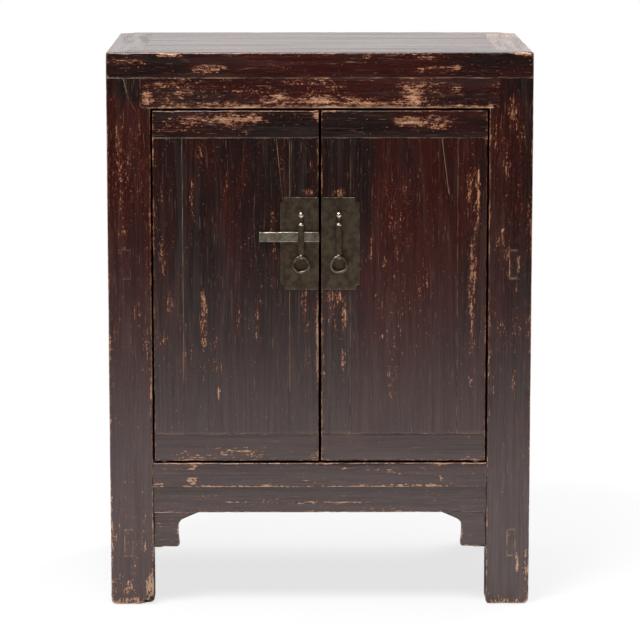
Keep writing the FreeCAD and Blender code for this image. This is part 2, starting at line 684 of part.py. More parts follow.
def meeting_stile():
    """Inner stile with its tenons, bored for the staple's legs."""
    stile = block((door_field_x[1], door_x[1]), door_y, door_field_z)
    stile = stile.fuse([door_stile_tenon(True), door_stile_tenon(False)]).removeSplitter()
    stile = stile.cut(door_groove()).cut(door_batten_shape(JOINT_CLEARANCE, JOINT_END_ROOM))
    for z in (upper_leg_z, lower_leg_z):
        stile = stile.cut(staple_leg(z, JOINT_CLEARANCE))
    return stile


def door_panel():
    """Flush panel, tongued all round and keyed to the batten behind it."""
    gap = -DOOR_PANEL_FACE_GAP
    face = block(grown(door_field_x, gap), (front, front + DOOR_PANEL_THICKNESS), grown(door_field_z, gap))
    y = (front + DOOR_TONGUE_SETBACK, front + DOOR_TONGUE_SETBACK + DOOR_TONGUE_THICKNESS)
    tongue = block(grown(door_field_x, DOOR_TONGUE_DEPTH), y, grown(door_field_z, DOOR_TONGUE_DEPTH))
    return face.fuse(tongue).removeSplitter().cut(door_batten_shape(JOINT_CLEARANCE, JOINT_END_ROOM))


# Left door's brass

def plate():
    """Face plate: square at the meeting edge, stepped in at its two outer corners."""
    outer = plate_x[0]
    inner = plate_x[1]
    step = outer + PLATE_NOTCH_WIDTH
    slant = step - PLATE_NOTCH_SLANT
    low = plate_z[0] + PLATE_NOTCH_HEIGHT
    high = plate_z[1] - PLATE_NOTCH_HEIGHT
    outline = [(inner, plate_z[0]), (inner, plate_z[1]), (step, plate_z[1]), (slant, high), (outer, high),
               (outer, low), (slant, low), (step, plate_z[0])]
    sheet = prism([V(x, plate_y[0], z) for x, z in outline], V(0, PLATE_THICKNESS, 0))
    for z in (upper_leg_z, lower_leg_z):
        sheet = sheet.cut(staple_leg(z, JOINT_CLEARANCE))
    return sheet


def finial(base):
    """Turned top of the staple: a swelled collar, a hollow neck and a ball, about a vertical axis.

    The collar's swell is half an ellipse and the ball a circle that starts at the neck, both in
    short straight steps.
    """
    neck_low = base + COLLAR_HEIGHT
    neck_high = neck_low + NECK_HEIGHT
    ball = neck_high + math.sqrt(BALL_RADIUS ** 2 - NECK_RADIUS ** 2)
    outline = [(0, base)]
    for step in range(COLLAR_STEPS + 1):
        turn = math.pi * step / COLLAR_STEPS
        swell = (COLLAR_RADIUS - NECK_RADIUS) * math.sin(turn)
        outline.append((NECK_RADIUS + swell, base + COLLAR_HEIGHT * (1 - math.cos(turn)) / 2))
    start = math.asin(NECK_RADIUS / BALL_RADIUS)
    for step in range(BALL_STEPS + 1):
        turn = start + (math.pi - start) * step / BALL_STEPS
        outline.append((BALL_RADIUS * math.sin(turn), ball - BALL_RADIUS * math.cos(turn)))
    axis_y = sum(strap_y) / 2
    points = [V(staple_x + radius, axis_y, height) for radius, height in outline[:-1]]
    points.append(V(staple_x, axis_y, ball + BALL_RADIUS))
    face = Part.Face(Part.makePolygon(points + points[:1]))
    return face.revolve(V(staple_x, axis_y, base), V(0, 0, 1), 360)


def staple():
    """Standing strap that the bar passes behind, with a finial, two clinched legs and a ring eye."""
    top = upper_leg_z[1] + STRAP_ABOVE_LEG
    strap = block(centred(staple_x, STRAP_WIDTH), strap_y, (eye_height, top))
    eye_start = V(staple_x - EYE_LENGTH / 2, eye_y, eye_height)
    eye = Part.makeCylinder(EYE_RADIUS, EYE_LENGTH, eye_start, V(1, 0, 0))
    back_y = (door_y[1], door_y[1] + CLINCH_THICKNESS)
    upper_clinch = block(leg_x, back_y, (upper_leg_z[0], upper_leg_z[1] + CLINCH_LENGTH))
    lower_clinch = block(leg_x, back_y, (lower_leg_z[0] - CLINCH_LENGTH, lower_leg_z[1]))
    body = strap.fuse([eye, finial(top), staple_leg(upper_leg_z), staple_leg(lower_leg_z),
                       upper_clinch, lower_clinch])
    hole_start = V(staple_x - STRAP_WIDTH, eye_y, eye_height)
    hole = Part.makeCylinder(EYE_HOLE_RADIUS, 2 * STRAP_WIDTH, hole_start, V(1, 0, 0))
    return body.removeSplitter().cut(hole)


def ring():
    """Plain wire ring that hangs in the eye: a many-sided wire section turned about the ring's axis."""
    middle = V(staple_x, eye_y, eye_height - RING_RADIUS)
    points = []
    for side in range(RING_SIDES):
        turn = 2 * math.pi * (side + 0.5) / RING_SIDES
        points.append(middle + V(RING_RADIUS + RING_WIRE_RADIUS * math.cos(turn),
                                 RING_WIRE_RADIUS * math.sin(turn), 0))
    return Part.Face(Part.makePolygon(points + points[:1])).revolve(middle, V(0, 1, 0), 360)


def lock_bar():
    """Flat bar, drawn back so that its end clears the right door."""
    end = door_x[1] + DOOR_MEETING_GAP / 2 - BAR_DRAWN_CLEARANCE
    bar = block((end - BAR_LENGTH, end), bar_y, centred(loop_middle, BAR_HEIGHT))
    return rounded(bar, BAR_EDGE_RADIUS, "x")


def all_pieces():
    """Every piece of the cabinet by the name of its node."""
    pieces = {
        "top_front_rail": front_top_member(),
        "top_rear_rail": flipped_back(front_top_member()),
        "top_left_end": left_top_member(),
        "top_right_end": mirrored(left_top_member()),
        "top_batten": top_batten_shape(),
        "front_upper_rail": upper_rail(),
        "front_sill_rail": sill_rail(),
        "front_apron": apron(),
        "rear_upper_rail": rear_member(upper_rail_height),
        "rear_middle_rail": rear_member(middle_rail_height),
        "rear_lower_rail": rear_sill(),
        "rear_upper_panel": inserted_panel(rear_field_x, rear_panel_y, upper_field_z, "y"),
        "rear_lower_panel": inserted_panel(rear_field_x, rear_panel_y, rear_lower_field_z, "y"),
        "door_stop": door_stop(),
        "lock_bar": lock_bar(),
    }
    paired = {
        "front_post": front_post(),
        "rear_post": rear_post(),
        "spandrel": spandrel(),
        "side_upper_rail": side_member(upper_rail_height, SIDE_UPPER_TENON_LENGTH),
        "side_middle_rail": side_member(middle_rail_height, POST_DEPTH),
        "side_lower_rail": side_member(lower_rail_height, POST_DEPTH),
        "side_upper_panel": inserted_panel(side_panel_x, side_field_y, upper_field_z, "x"),
        "side_lower_panel": inserted_panel(side_panel_x, side_field_y, lower_field_z, "x"),
        "door_hinge_stile": hinge_stile(),
        "door_meeting_stile": meeting_stile(),
        "door_top_rail": door_rail(False),
        "door_bottom_rail": door_rail(True),
        "door_panel": door_panel(),
        "door_batten": door_batten_shape(),
        "door_plate": plate(),
        "door_staple": staple(),
        "door_ring": ring(),
    }
    for name, solid in paired.items():
        pieces["left_" + name] = solid
        pieces["right_" + name] = mirrored(solid)
    for index in range(TOP_BOARD_COUNT):
        pieces["top_board_%d" % (index + 1)] = top_board(index)
    for index in range(FLOOR_BOARD_COUNT):
        pieces["floor_board_%d" % (index + 1)] = floor_board(index)
    for index in range(SHELF_BOARD_COUNT):
        pieces["shelf_board_%d" % (index + 1)] = shelf_board(index)
    return pieces


os.makedirs("parts", exist_ok=True)
for piece_name, piece in all_pieces().items():
    piece.exportStep("parts/%s.step" % piece_name)
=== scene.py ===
"""Worn surfaces, brass and studio for a small two-door lacquered cabinet.

Metres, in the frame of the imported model: +Z is up and the doors face -Y.
"""
import functools
import itertools
import json
import math

import bmesh
import bpy
import numpy as np
from bpy.props import FloatProperty, FloatVectorProperty, PointerProperty
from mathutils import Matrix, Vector


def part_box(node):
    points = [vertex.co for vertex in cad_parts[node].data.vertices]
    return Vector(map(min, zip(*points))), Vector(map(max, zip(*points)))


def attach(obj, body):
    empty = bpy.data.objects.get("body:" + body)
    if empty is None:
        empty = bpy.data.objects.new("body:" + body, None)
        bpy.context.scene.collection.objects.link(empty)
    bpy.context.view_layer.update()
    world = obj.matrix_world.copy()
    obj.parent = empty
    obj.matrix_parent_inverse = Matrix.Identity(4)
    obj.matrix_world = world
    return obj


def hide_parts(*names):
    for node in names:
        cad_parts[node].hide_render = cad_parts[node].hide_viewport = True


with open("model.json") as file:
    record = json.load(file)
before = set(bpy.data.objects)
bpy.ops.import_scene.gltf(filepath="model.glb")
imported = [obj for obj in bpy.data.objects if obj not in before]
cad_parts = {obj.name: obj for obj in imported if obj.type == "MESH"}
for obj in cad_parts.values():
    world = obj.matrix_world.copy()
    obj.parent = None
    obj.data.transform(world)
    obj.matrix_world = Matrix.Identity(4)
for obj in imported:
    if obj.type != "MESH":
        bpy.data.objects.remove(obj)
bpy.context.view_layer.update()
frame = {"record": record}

bl_info = {
    "name": "Lacquered cabinet",
    "version": (1, 0, 0),
    "blender": (4, 5, 0),
    "location": "View3D > Sidebar > Cabinet",
    "description": "Worn timber, aged brass and a studio for a two-door cabinet",
    "category": "Object",
}

MM = 0.001
AXES = "xyz"
FAR = 1.0
TINY = 1e-9
SIDES = ("left", "right")
BOTH_WAYS = np.array([-1, 1])

# Grid of the surfaces
ARC_STEPS = 4
CAP_STEPS = 4
TIMBER_STEP = 5 * MM
LENGTH_STEP = 7 * MM
FOOT_STEP = 3 * MM
FACE_STEP = 3 * MM
DOOR_STEP = 2.5 * MM
PANEL_STEP = 1.6 * MM
TENON_STEP = 2 * MM
LOCK_STEP = 2 * MM
BRASS_STEP = 1.2 * MM
STRAP_STEP = 1.5 * BRASS_STEP
TURNED_SIDES = 40
HOOP_ROWS = 72
EYE_ROWS = 40
WIRE_SIDES = 16
MERGE_DISTANCE = 0.002 * MM

# Repeatable numbers: weights of a cell's place and of the seed, stretch of the sine, count of seeds
CELL_WEIGHTS = np.array([127.1, 311.7, 74.7])
SEED_WEIGHT = 19.19
SINE_STRETCH = 43758.5453
NAME_SEEDS = 997
TENON_SEEDS = 991
TENON_SEED_SCALE = 1e5

# Timber rounded by use: reach of an arris, sizes of the noises along and across the grain, their shares
ARRIS_REACH = 3 * MM
EDGE_SOFTNESS = 5 * MM
ROUND_REACH = 1.001
LONG_WEAR_SIZE = (45 * MM, 18 * MM, 18 * MM)
CHIP_SIZE = 9 * MM
CHIP_LEVELS = (0.66, 0.85)
EVEN_ROUNDING = 0.2
LONG_ROUNDING = 0.6
CHIP_ROUNDING = 0.9
PLANE_MARK_SIZE = (70 * MM, 22 * MM, 22 * MM)
INSIDE_BOARD_ROUNDING = 0.3
GRAIN_SPREAD = 7

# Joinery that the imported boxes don't show by themselves
HOUSING_DEPTH = 15 * MM
PANEL_INSERT = 7 * MM
APRON_ARRIS = 1.2 * MM
JOINT_RADIUS = 0.4 * MM
JOINT_LINE = 1.2 * MM
SIDE_TENON_THICKNESS = 13.5 * MM
SIDE_TENON_SHOULDER = 2 * MM
TOP_TENON_SETBACK = 30 * MM
TOP_TENON_WIDTH = 13 * MM
TOP_TENON_THICKNESS = 11 * MM
TENON_STAND = 0.12 * MM
TENON_DEPTH = 6 * MM
TENON_LINE = 2.2 * MM
TENON_SHOW = 1.35
FAINT_TENONS = {"left_side_middle_rail": 0.8}
PIVOT_RADIUS = 6 * MM
PIVOT_FROM_EDGE = 14 * MM
PIVOT_FROM_FRONT = 9 * MM
PIN_PROFILE = np.array([0, 0.9, 1, 1, 0.9, 0])
PIN_CHAMFER = 1 * MM

# Corners and feet worn round
TOP_CORNER_RADIUS = 3 * MM
TOP_FRONT_WEAR = 6 * MM
TOP_REAR_WEAR = 9 * MM
TOP_CORNER_DROP = 8 * MM
TOP_DROP_REACH = 28 * MM
FOOT_RADIUS = 6 * MM

# How far the lacquer goes round into the case
DOOR_EDGE = 3 * MM
PANEL_RECESS = 12 * MM
LACQUERED_REVEAL = 1.2 * MM
INSIDE_PLAY = 1 * MM

# Spandrel outline, and how many points each stretch of it has
SPANDREL_FOOT_WIDTH = 38 * MM
SPANDREL_WAIST = 1.6 * MM
SPANDREL_SLOPE = math.radians(24)
SPANDREL_COVE_RADIUS = 13 * MM
SPANDREL_FOOT_RADIUS = 4.5 * MM
SPANDREL_LAP = 1.3 * MM
SPANDREL_ARRIS = 1.3 * MM
SPANDREL_WEAR = 0.7
SPANDREL_WEAR_FALL = 14
SPANDREL_ROWS = 12
SPANDREL_TAPER = 0.04
SOLE_TAPER_RATE = 4
SLOPE_POINTS = 12
COVE_POINTS = 18
WAIST_POINTS = 14
FOOT_CORNER_POINTS = 9
SOLE_POINTS = 14

# Brass
PLATE_NOTCH_WIDTH = 6 * MM
PLATE_NOTCH_HEIGHT = 7.5 * MM
PLATE_NOTCH_SLANT = 1.5 * MM
PLATE_ROWS = 18
PLATE_ARRIS = 0.5 * MM
PLATE_RIM_DEPTH = 0.9
PLATE_RUBBED = 0.45
DENT_DEPTH = 0.25 * MM
DENT_SIZE = 14 * MM
SMALL_DENT_SIZE = 6 * MM
SMALL_DENT_SHARE = 0.4
DENT_SEEDS = (5, 6)
STRAP_WIDTH = 8.5 * MM
STRAP_THICKNESS = 2.6 * MM
STRAP_ABOVE_LEG = 2.5 * MM
STRAP_PLAY = 0.6 * MM
STRAP_ARRIS = 0.9 * MM
STRAP_WEAR = 0.3 * MM
STRAP_RUBBED = 0.3
STRAP_SEED = 3
LEG_WIDTH = 4.5 * MM
LEG_HEIGHT = 5 * MM
LEG_ARRIS = 0.8 * MM
LEG_LAP = 1 * MM
LEG_SEED = 7
LOOP_PLAY = 2 * MM
CLINCH_LENGTH = 12 * MM
CLINCH_THICKNESS = 1.6 * MM
CLINCH_ARRIS = 0.5 * MM
CLINCH_SEED = 11
FINIAL_SINK = 0.3 * MM
COLLAR_RADIUS = 4.6 * MM
COLLAR_HEIGHT = 4 * MM
COLLAR_POINTS = 15
NECK_RADIUS = 2.4 * MM
NECK_HEIGHT = 8.5 * MM
NECK_HOLLOW = 0.16
NECK_POINTS = 10
BALL_RADIUS = 4.3 * MM
BALL_POINTS = 22
FINIAL_RUBBED = 0.9
EYE_RADIUS = 3.45 * MM
EYE_WIRE_RADIUS = 1.05 * MM
EYE_HALF_LENGTH = 2.9 * MM
EYE_FROM_PLATE = 5.2 * MM
EYE_BELOW_PLATE_MIDDLE = 18.5 * MM
EYE_RUBBED = 0.45
RING_WIRE_RADIUS = 1.95 * MM
RING_GROWTH = 0.55 * MM
RING_RUBBED = 0.45
LOCK_ARRIS = 1.1 * MM
LOCK_WEAR = 0.5 * MM
LOCK_MARKS = 0.12 * MM
LOCK_RUBBED = 0.6
LOCK_SEED = 17

# Growth rings of the wood
RING_WIDTH = 5.5 * MM
RING_SWAY = 55 * MM
RING_SLANT = (0, 0.6, 0.8)
GRAIN_BEND = 0.02

# Sockets of a mix node that hold colours
MIX_COLOURS = (6, 7)
MIX_RESULT = 2

# Noises of the materials: scales along and across the grain per metre, detail and own roughness
NOISE_ROUGHNESS = 0.55
BEND_NOISE = ((3, 12, 12), 2)
STREAK_NOISE = ((7, 420, 420), 4, 0.65)
FIGURE_NOISE = ((4, 60, 60), 3)
PORE_NOISE = ((60, 1500, 1500), 2)
CHECK_NOISE = ((22, 620, 620), 2, 0.5)
HAIRLINE_NOISE = ((34, 700, 700), 1, 0.4)
SWAY_NOISE = ((1.6, 9, 9), 2)
RIPPLE_NOISE = ((9, 120, 120), 3)
PATCHY_NOISE = ((38, 38, 38), 4, 0.6)
SPECK_NOISE = ((240, 330, 330), 2)
LACQUER_NOISE = ((6, 26, 26), 4, 0.6)
STAIN_NOISE = ((5, 22, 22), 5, 0.6)
TARNISH_NOISE = ((110, 110, 110), 6, 0.68)
GRIT_NOISE = ((700, 700, 700), 3, 0.6)

# Noises of the lacquer loss: share, scales along and across the grain per metre, and detail
LOSS_NOISES = (
    (0.21, (24, 90, 90), 3),
    (0.31, (120, 310, 310), 4),
    (0.28, (300, 700, 700), 2),
    (0.2, (13, 500, 500), 2),
)

# Levels between which an effect sets in, and its most where that isn't 1
RING_LEVELS = (-0.3, 1.0)
PORE_LEVELS = (0.55, 0.72)
CHECK_LEVELS = (0.62, 0.74)
HAIRLINE_LEVELS = (0.7, 0.76)
BARE_LEVELS = (0.646, 0.659)
THIN_LEVELS = (0.565, 0.655)
RAW_LEVELS = (0.675, 0.79)
CRACK_LEVELS = (0.1 * MM, 0.7 * MM)
CRACK_DUST_LEVELS = (0.25, 0.6, 0.7)
JOINT_LEVELS = (0.5, 1.0)
JOINT_DUST_LEVELS = (0.42, 0.64)
SPECK_LEVELS = (0.7, 0.74, 0.5)
BRIGHT_LEVELS = (0.45, 0.9)
BLOOM_LEVELS = (0.36, 0.64)
RED_LEVELS = (-0.1, 1.1)
SHADE_LEVELS = (0.42, 0.72)
# Painted sheen, broken up along the grain between these levels
SHEEN_STREAK_LEVELS = (0.3, 0.7, 0.6)
TAN_LEVELS = (0.4, 0.62)
RAW_STREAK_LEVELS = (0.3, 0.7)
DULL_LEVELS = (0.45, 0.7, 0.14)
BOARD_TONE_LEVELS = (0.2, 0.7, 0.4)
STAIN_LEVELS = (0.48, 0.72, 0.6)

# Shares of the effects in the finishes
WORN_LOSS = 0.165
ARRIS_LOSS = 0.17
ARRIS_POWER = 1.8
RED_SPREAD = 2.4
SHADE_SHARE = 0.2
# Least share of the painted sheen between grain streaks
SHEEN_LEAST = 0.5
CHECK_SHARE = 0.2
HAIRLINE_SHARE = 0.55
THIN_SHARE = 0.7
# Share of the painted sheen that also pales bare wood, a painted reflection low down and real scrubbing on
# the top's right end
SCRUB_AND_SHEEN_SHARE = 0.85
DUST_SHARE = 0.8
INSIDE_RING_SHARE = 0.6
BOARD_RING_SHARE = 0.65
BOARD_LINE_SHARE = 0.55
BRIGHT_ARRIS = 0.6
BRIGHT_CLOUD = 0.5

# Roughness of the finishes, and relief: shares of the height, strength and distance
LACQUER_ROUGHNESS = 0.14
LACQUER_STREAK_ROUGHNESS = 0.12
MATT_ROUGHNESS = 0.34
LACQUER_STREAK_HEIGHT = 0.3
LACQUER_PORE_HEIGHT = 0.25
LACQUER_RELIEF = (0.55, 0.35 * MM)
BOARD_ROUGHNESS = 0.58
BOARD_STREAK_ROUGHNESS = 0.25
BOARD_RING_HEIGHT = 0.4
BOARD_PORE_HEIGHT = 0.5
BOARD_RELIEF = (0.5, 0.4 * MM)
BRASS_ROUGHNESS = 0.38
BRIGHT_ROUGHNESS = -0.22
GRIT_ROUGHNESS = 0.12
BRASS_RELIEF = (0.3, 0.15 * MM)

# Floor and room
FLOOR_HALF = 14.0
FLOOR_ROUGHNESS = 0.9
FLOOR_COLOUR = (0.9, 0.9, 0.9)
ROOM_COLOUR = (0.14, 0.14, 0.14)
SHEET_END = 1.5
SHEET_FADE = 1.4
SHADOW_LIFT = 0.75
SHADOW_LEVELS = (0.4, 0.95)
BEHIND_LEVELS = (3.0, 6.0)
MIRRORED_LEVELS = (-0.5, 0.75, 0.92)
MIRRORED_DIMMING = 0.7

# Lamps: place, size and share of the key light's power
LAMP_TARGET = (0, 0, 0.42)
LAMPS = {
    "key": ((-0.6, -1.1, 2.5), 1.2, 1.0),
    "top": ((0.3, 0.5, 2.6), 1.4, 0.25),
    "rear": ((1.5, 1.6, 2.9), 1.4, 0.8),
}

# The camera's sensor, in millimetres
SENSOR_WIDTH = 36

# Share of red in the dark lacquer of each piece, from 0, black, to 1, red-brown
TONES = {
    "left_front_post": 0.72, "right_front_post": 0.42, "front_upper_rail": 0.5, "top_front_rail": 0.42,
    "front_sill_rail": 0.15, "front_apron": 0.35, "left_spandrel": 0.3, "right_spandrel": 0.35,
    "left_door_top_rail": 0.15, "left_door_hinge_stile": 0.18, "left_door_panel": 0.14,
    "left_door_meeting_stile": 0.12, "left_door_bottom_rail": 0.1, "right_door_top_rail": 0.4,
    "right_door_hinge_stile": 0.7, "right_door_panel": 0.74, "right_door_meeting_stile": 0.12,
    "right_door_bottom_rail": 0.35, "top_board_1": 0.8, "top_board_2": 0.75, "top_left_end": 0.7,
    "top_right_end": 0.8,
}
PLAIN_TONE = 0.45

# Patches that are blacker or redder than their piece, in millimetres: x, z, reach x, reach z, change
TONE_PATCHES = {
    "left_front_post": [(-290, 780, 40, 26, -0.6), (-282, 640, 40, 100, 0.2)],
    "top_front_rail": [(-265, 800, 60, 40, -0.4), (-60, 800, 120, 40, 0.3), (95, 800, 80, 40, 0.2),
                       (255, 800, 60, 40, -0.3)],
    "front_upper_rail": [(70, 765, 90, 25, 0.4), (-200, 760, 60, 30, -0.25), (220, 765, 50, 30, -0.2)],
    "left_door_panel": [(-130, 560, 22, 150, 0.25), (-180, 480, 20, 120, -0.3), (-70, 650, 25, 60, -0.3)],
    "right_door_panel": [(58, 600, 18, 140, -0.55), (150, 560, 50, 200, 0.2), (110, 320, 60, 50, -0.25),
                         (110, 690, 90, 40, -0.3), (120, 480, 60, 90, 0.15)],
    "left_door_top_rail": [(-60, 715, 60, 30, -0.3)],
    "right_door_top_rail": [(40, 715, 50, 30, -0.4)],
    "right_front_post": [(290, 780, 40, 26, -0.4), (270, 600, 30, 120, 0.15)],
    "left_side_middle_rail": [(-283, 510, 30, 60, 0.3)],
    "left_side_lower_rail": [(-283, 94, 30, 60, 0.3)],
    "right_side_middle_rail": [(283, 510, 30, 60, 0.15)],
    "right_side_lower_rail": [(283, 94, 30, 60, 0.15)],
}

# Wear that is spread over a whole piece
EVEN_WEAR = {
    "top_right_end": 0.36, "top_left_end": 0.28, "top_board_1": 0.32, "top_board_2": 0.3,
    "top_front_rail": 0.16, "top_rear_rail": 0.3, "front_upper_rail": 0.34,
}
PLAIN_WEAR = 0.2
DOOR_WEAR = 0.1
EDGE_WEAR = 0.6
TOP_FACE_DEPTH = 5 * MM
WEAR_UNDER_PATCH = 0.3
CLUSTER_SIZE = 70 * MM
CLUSTER_SEED = 41
CLUSTER_LEAST = 0.3
CLUSTER_GAIN = 1.4
DOOR_JOINT_SHOW = 0.95
PIECE_VARIETY = 0.5
VARIETY_CELL = (5, 9)
VARIETY_SEED = 3
# Painted sheen: below a height the lacquer greys and its bare wood pales, a painted reflection of the pale
# floor that is gone higher up; the top pieces take a further share as a painted sheen of the top, on the
# right end together with real pale wear
SHEEN_FULL_BELOW = 80 * MM
SHEEN_NONE_ABOVE = 620 * MM
SHEEN_PIECES = {"top_right_end": 0.95, "top_left_end": 0.3, "top_board_1": 0.1, "top_board_2": 0.1}

# Patches on the front: depth of the front, raggedness and fall of each bell
PATCH_DEPTH = 9 * MM
RAGGED_SIZE = 16 * MM
RAGGED_SEEDS = (31, 32)
PATCH_FALL = 0.7
NO_PATCH = (0, 0, 1, 1, 0)

# Places on the front where the lacquer has gone, in millimetres:
# x, z, reach along x, reach along z, strength
WORN_PATCHES = {
    "top_front_rail": [
        (-280, 805, 28, 9, 0.55), (-219, 816, 24, 4, 0.8), (-161, 796, 30, 9, 0.8), (-93, 803, 9, 9, 0.7),
        (-40, 800, 40, 8, 0.35), (68, 815, 11, 4, 0.85), (170, 809, 28, 2, 0.75), (165, 798, 44, 2, 0.8),
        (201, 797, 11, 4, 0.95), (145, 788, 7, 5, 0.9), (297, 816, 13, 5, 1.0)],
    "front_upper_rail": [
        (-252, 757, 9, 17, 1.0), (-206, 770, 36, 8, 0.65), (-134, 744, 125, 5, 0.75),
        (-100, 762, 70, 9, 0.45), (-46, 750, 58, 9, 0.85), (49, 747, 78, 9, 0.92), (137, 759, 12, 19, 1.0),
        (199, 764, 14, 13, 0.75), (190, 743, 50, 3, 0.7), (251, 742, 9, 4, 1.0)],
    "left_front_post": [
        (-291, 650, 8, 115, 0.55), (-287, 560, 9, 40, 0.5), (-256, 382, 6, 50, 0.5), (-250, 330, 3, 40, 0.5),
        (-285, 30, 9, 15, 0.7), (-254, 28, 9, 24, 0.92), (-260, 75, 5, 20, 0.6), (-280, 5, 34, 7, 0.78),
        (-257, 132, 5, 30, 0.5), (-263, 100, 6, 14, 0.55), (-306, 30, 4, 16, 0.75)],
    "right_front_post": [
        (278, 737, 8, 26, 0.72), (274, 653, 8, 48, 0.55), (272, 536, 9, 58, 0.52), (291, 507, 2, 13, 0.95),
        (254, 700, 4, 60, 0.4), (292, 66, 4, 20, 1.0), (303, 45, 5, 40, 0.75), (262, 6, 14, 8, 0.8),
        (285, 5, 30, 8, 0.7), (288, 105, 3, 9, 0.8), (285, 330, 3, 20, 0.5)],
    "left_door_top_rail": [
        (-150, 722, 92, 11, 0.78), (-118, 725, 44, 8, 0.95), (-195, 712, 40, 8, 0.5), (-4, 730, 7, 8, 0.75)],
    "right_door_top_rail": [
        (150, 721, 48, 8, 1.08), (176, 713, 13, 8, 0.98), (122, 716, 14, 6, 0.75)],
    "left_door_hinge_stile": [
        (-234, 596, 8, 26, 0.45), (-231, 520, 5, 26, 0.62), (-221, 454, 9, 18, 0.75), (-228, 395, 8, 22, 0.5),
        (-205, 400, 4, 50, 0.55), (-226, 350, 9, 20, 0.4)],
    "right_door_hinge_stile": [
        (222, 575, 10, 100, 0.68), (230, 610, 4, 50, 0.8), (222, 500, 7, 62, 0.85), (222, 385, 5, 85, 0.7)],
    "left_door_panel": [
        (-186, 602, 3, 42, 0.62), (-136, 622, 3, 28, 0.62), (-170, 425, 6, 46, 0.88),
        (-120, 430, 4, 40, 0.65), (-93, 430, 5, 35, 0.55), (-148, 320, 3, 12, 0.9), (-165, 372, 26, 40, 0.45),
        (-176, 676, 14, 14, 0.5), (-195, 375, 3, 60, 0.6), (-70, 545, 6, 60, 0.4)],
    "right_door_panel": [
        (75, 535, 2, 22, 0.95), (96, 510, 4, 16, 0.82), (112, 565, 34, 60, 0.42), (140, 600, 40, 70, 0.3),
        (110, 430, 26, 70, 0.42), (93, 403, 6, 2, 1.0), (105, 345, 12, 42, 0.5), (150, 440, 12, 80, 0.35)],
    "left_door_meeting_stile": [
        (-14, 655, 3, 11, 0.8), (-15, 617, 11, 5, 0.85), (-21, 440, 9, 35, 0.74), (-4, 410, 3, 70, 0.65),
        (-20, 370, 6, 50, 0.5)],
    "right_door_meeting_stile": [
        (28, 617, 9, 6, 1.0), (27, 464, 20, 10, 0.75), (20, 435, 6, 28, 0.66), (35, 430, 5, 36, 0.74),
        (35, 375, 4, 22, 0.6), (43, 285, 2, 15, 0.6), (6, 380, 3, 70, 0.45)],
    "left_door_bottom_rail": [(-158, 230, 66, 11, 0.68), (-11, 226, 11, 9, 0.65)],
    "right_door_bottom_rail": [(225, 222, 20, 4, 0.5)],
    "front_sill_rail": [
        (-190, 209, 11, 5, 0.92), (-186, 187, 9, 8, 1.0), (-238, 182, 9, 4, 0.95), (-75, 181, 9, 3, 0.8),
        (30, 180, 60, 3, 0.85), (140, 181, 50, 3, 0.85), (180, 188, 5, 6, 0.9), (90, 206, 60, 5, 0.5),
        (-110, 180, 110, 2.5, 0.6), (0, 179, 262, 0.9, 1.1)],
    "front_apron": [(20, 154, 62, 2, 0.84), (-60, 160, 20, 2, 0.55), (-110, 155, 80, 1.6, 0.66)],
}

# Open cracks on the front, in millimetres: from x, z to x, z
CRACKS = {
    "left_door_panel": [(-63.5, 696, -54.5, 603), (-200.2, 640, -200.2, 330)],
    "right_door_panel": [(177, 696, 188, 612)],
    "left_front_post": [(-284.5, 782, -279, 757), (-279, 757, -269, 738)],
}
CRACK_WIDTH = 0.9 * MM
CRACK_DEPTH = 0.9 * MM
CRACK_FRONT = 3 * MM

# Broken places, in millimetres: x, y, z, reach and depth
BITES = {
    "left_front_post": [(-250, -203, 2, 17, 6), (-308, -203, 4, 10, 2.5)],
    "right_front_post": [(308, -203, 3, 9, 2)],
    "top_front_rail": [(306, -203, 820, 12, 1.6), (-219, -203, 820, 16, 0.9)],
}

# How a bite goes in: up below a height and down above it, across and back by shares; then its core and
# its roughness
BITE_FOOT_HEIGHT = 400
BITE_INNER_X = 280
BITE_ACROSS = 0.5
BITE_INNER_ACROSS = 0.8
BITE_BACK = 0.75
BITE_CORE = 0.25
BITE_ROUGH_SIZE = 4 * MM
BITE_ROUGH_LEAST = 0.6
BITE_ROUGH_GAIN = 0.8

# The screen's curve: its white, the end and the slope of the straight part, then offset and power
SCREEN_WHITE = 255
SCREEN_TOE = 0.04045
SCREEN_SLOPE = 12.92
SCREEN_OFFSET = 0.055
SCREEN_POWER = 2.4


def paint(red, green, blue):
    """A colour written in screen values from 0 to 255, as the light values that shaders use."""
    screen = np.array([red, green, blue]) / SCREEN_WHITE
    bright = ((screen + SCREEN_OFFSET) / (1 + SCREEN_OFFSET)) ** SCREEN_POWER
    light = np.where(screen <= SCREEN_TOE, screen / SCREEN_SLOPE, bright)
    return tuple(light.tolist())


def colour_property(label, words, colour):
    """A colour that a user can change."""
    return FloatVectorProperty(name=label, description=words, default=colour, subtype="COLOR", min=0, max=1)


def length_property(label, words, length):
    """A length in metres that a user can change."""
    return FloatProperty(name=label, description=words, default=length, unit="LENGTH", precision=5)


class CabinetTimber(bpy.types.PropertyGroup):
    """Sizes of the worn timber."""
    free_arris: length_property("Free arris", "Radius of an arris that hands reach", 1.8 * MM)
    joint_arris: length_property("Joint arris", "Radius of an edge set against its neighbour", 0.55 * MM)
    top_arris: length_property("Top arris", "Radius round the top", 2.2 * MM)
    wear_depth: length_property("Wear depth", "Deepest rounding by wear at a free arris", 1.3 * MM)
    plane_marks: length_property("Plane marks", "Unevenness that the hand plane left", 0.16 * MM)


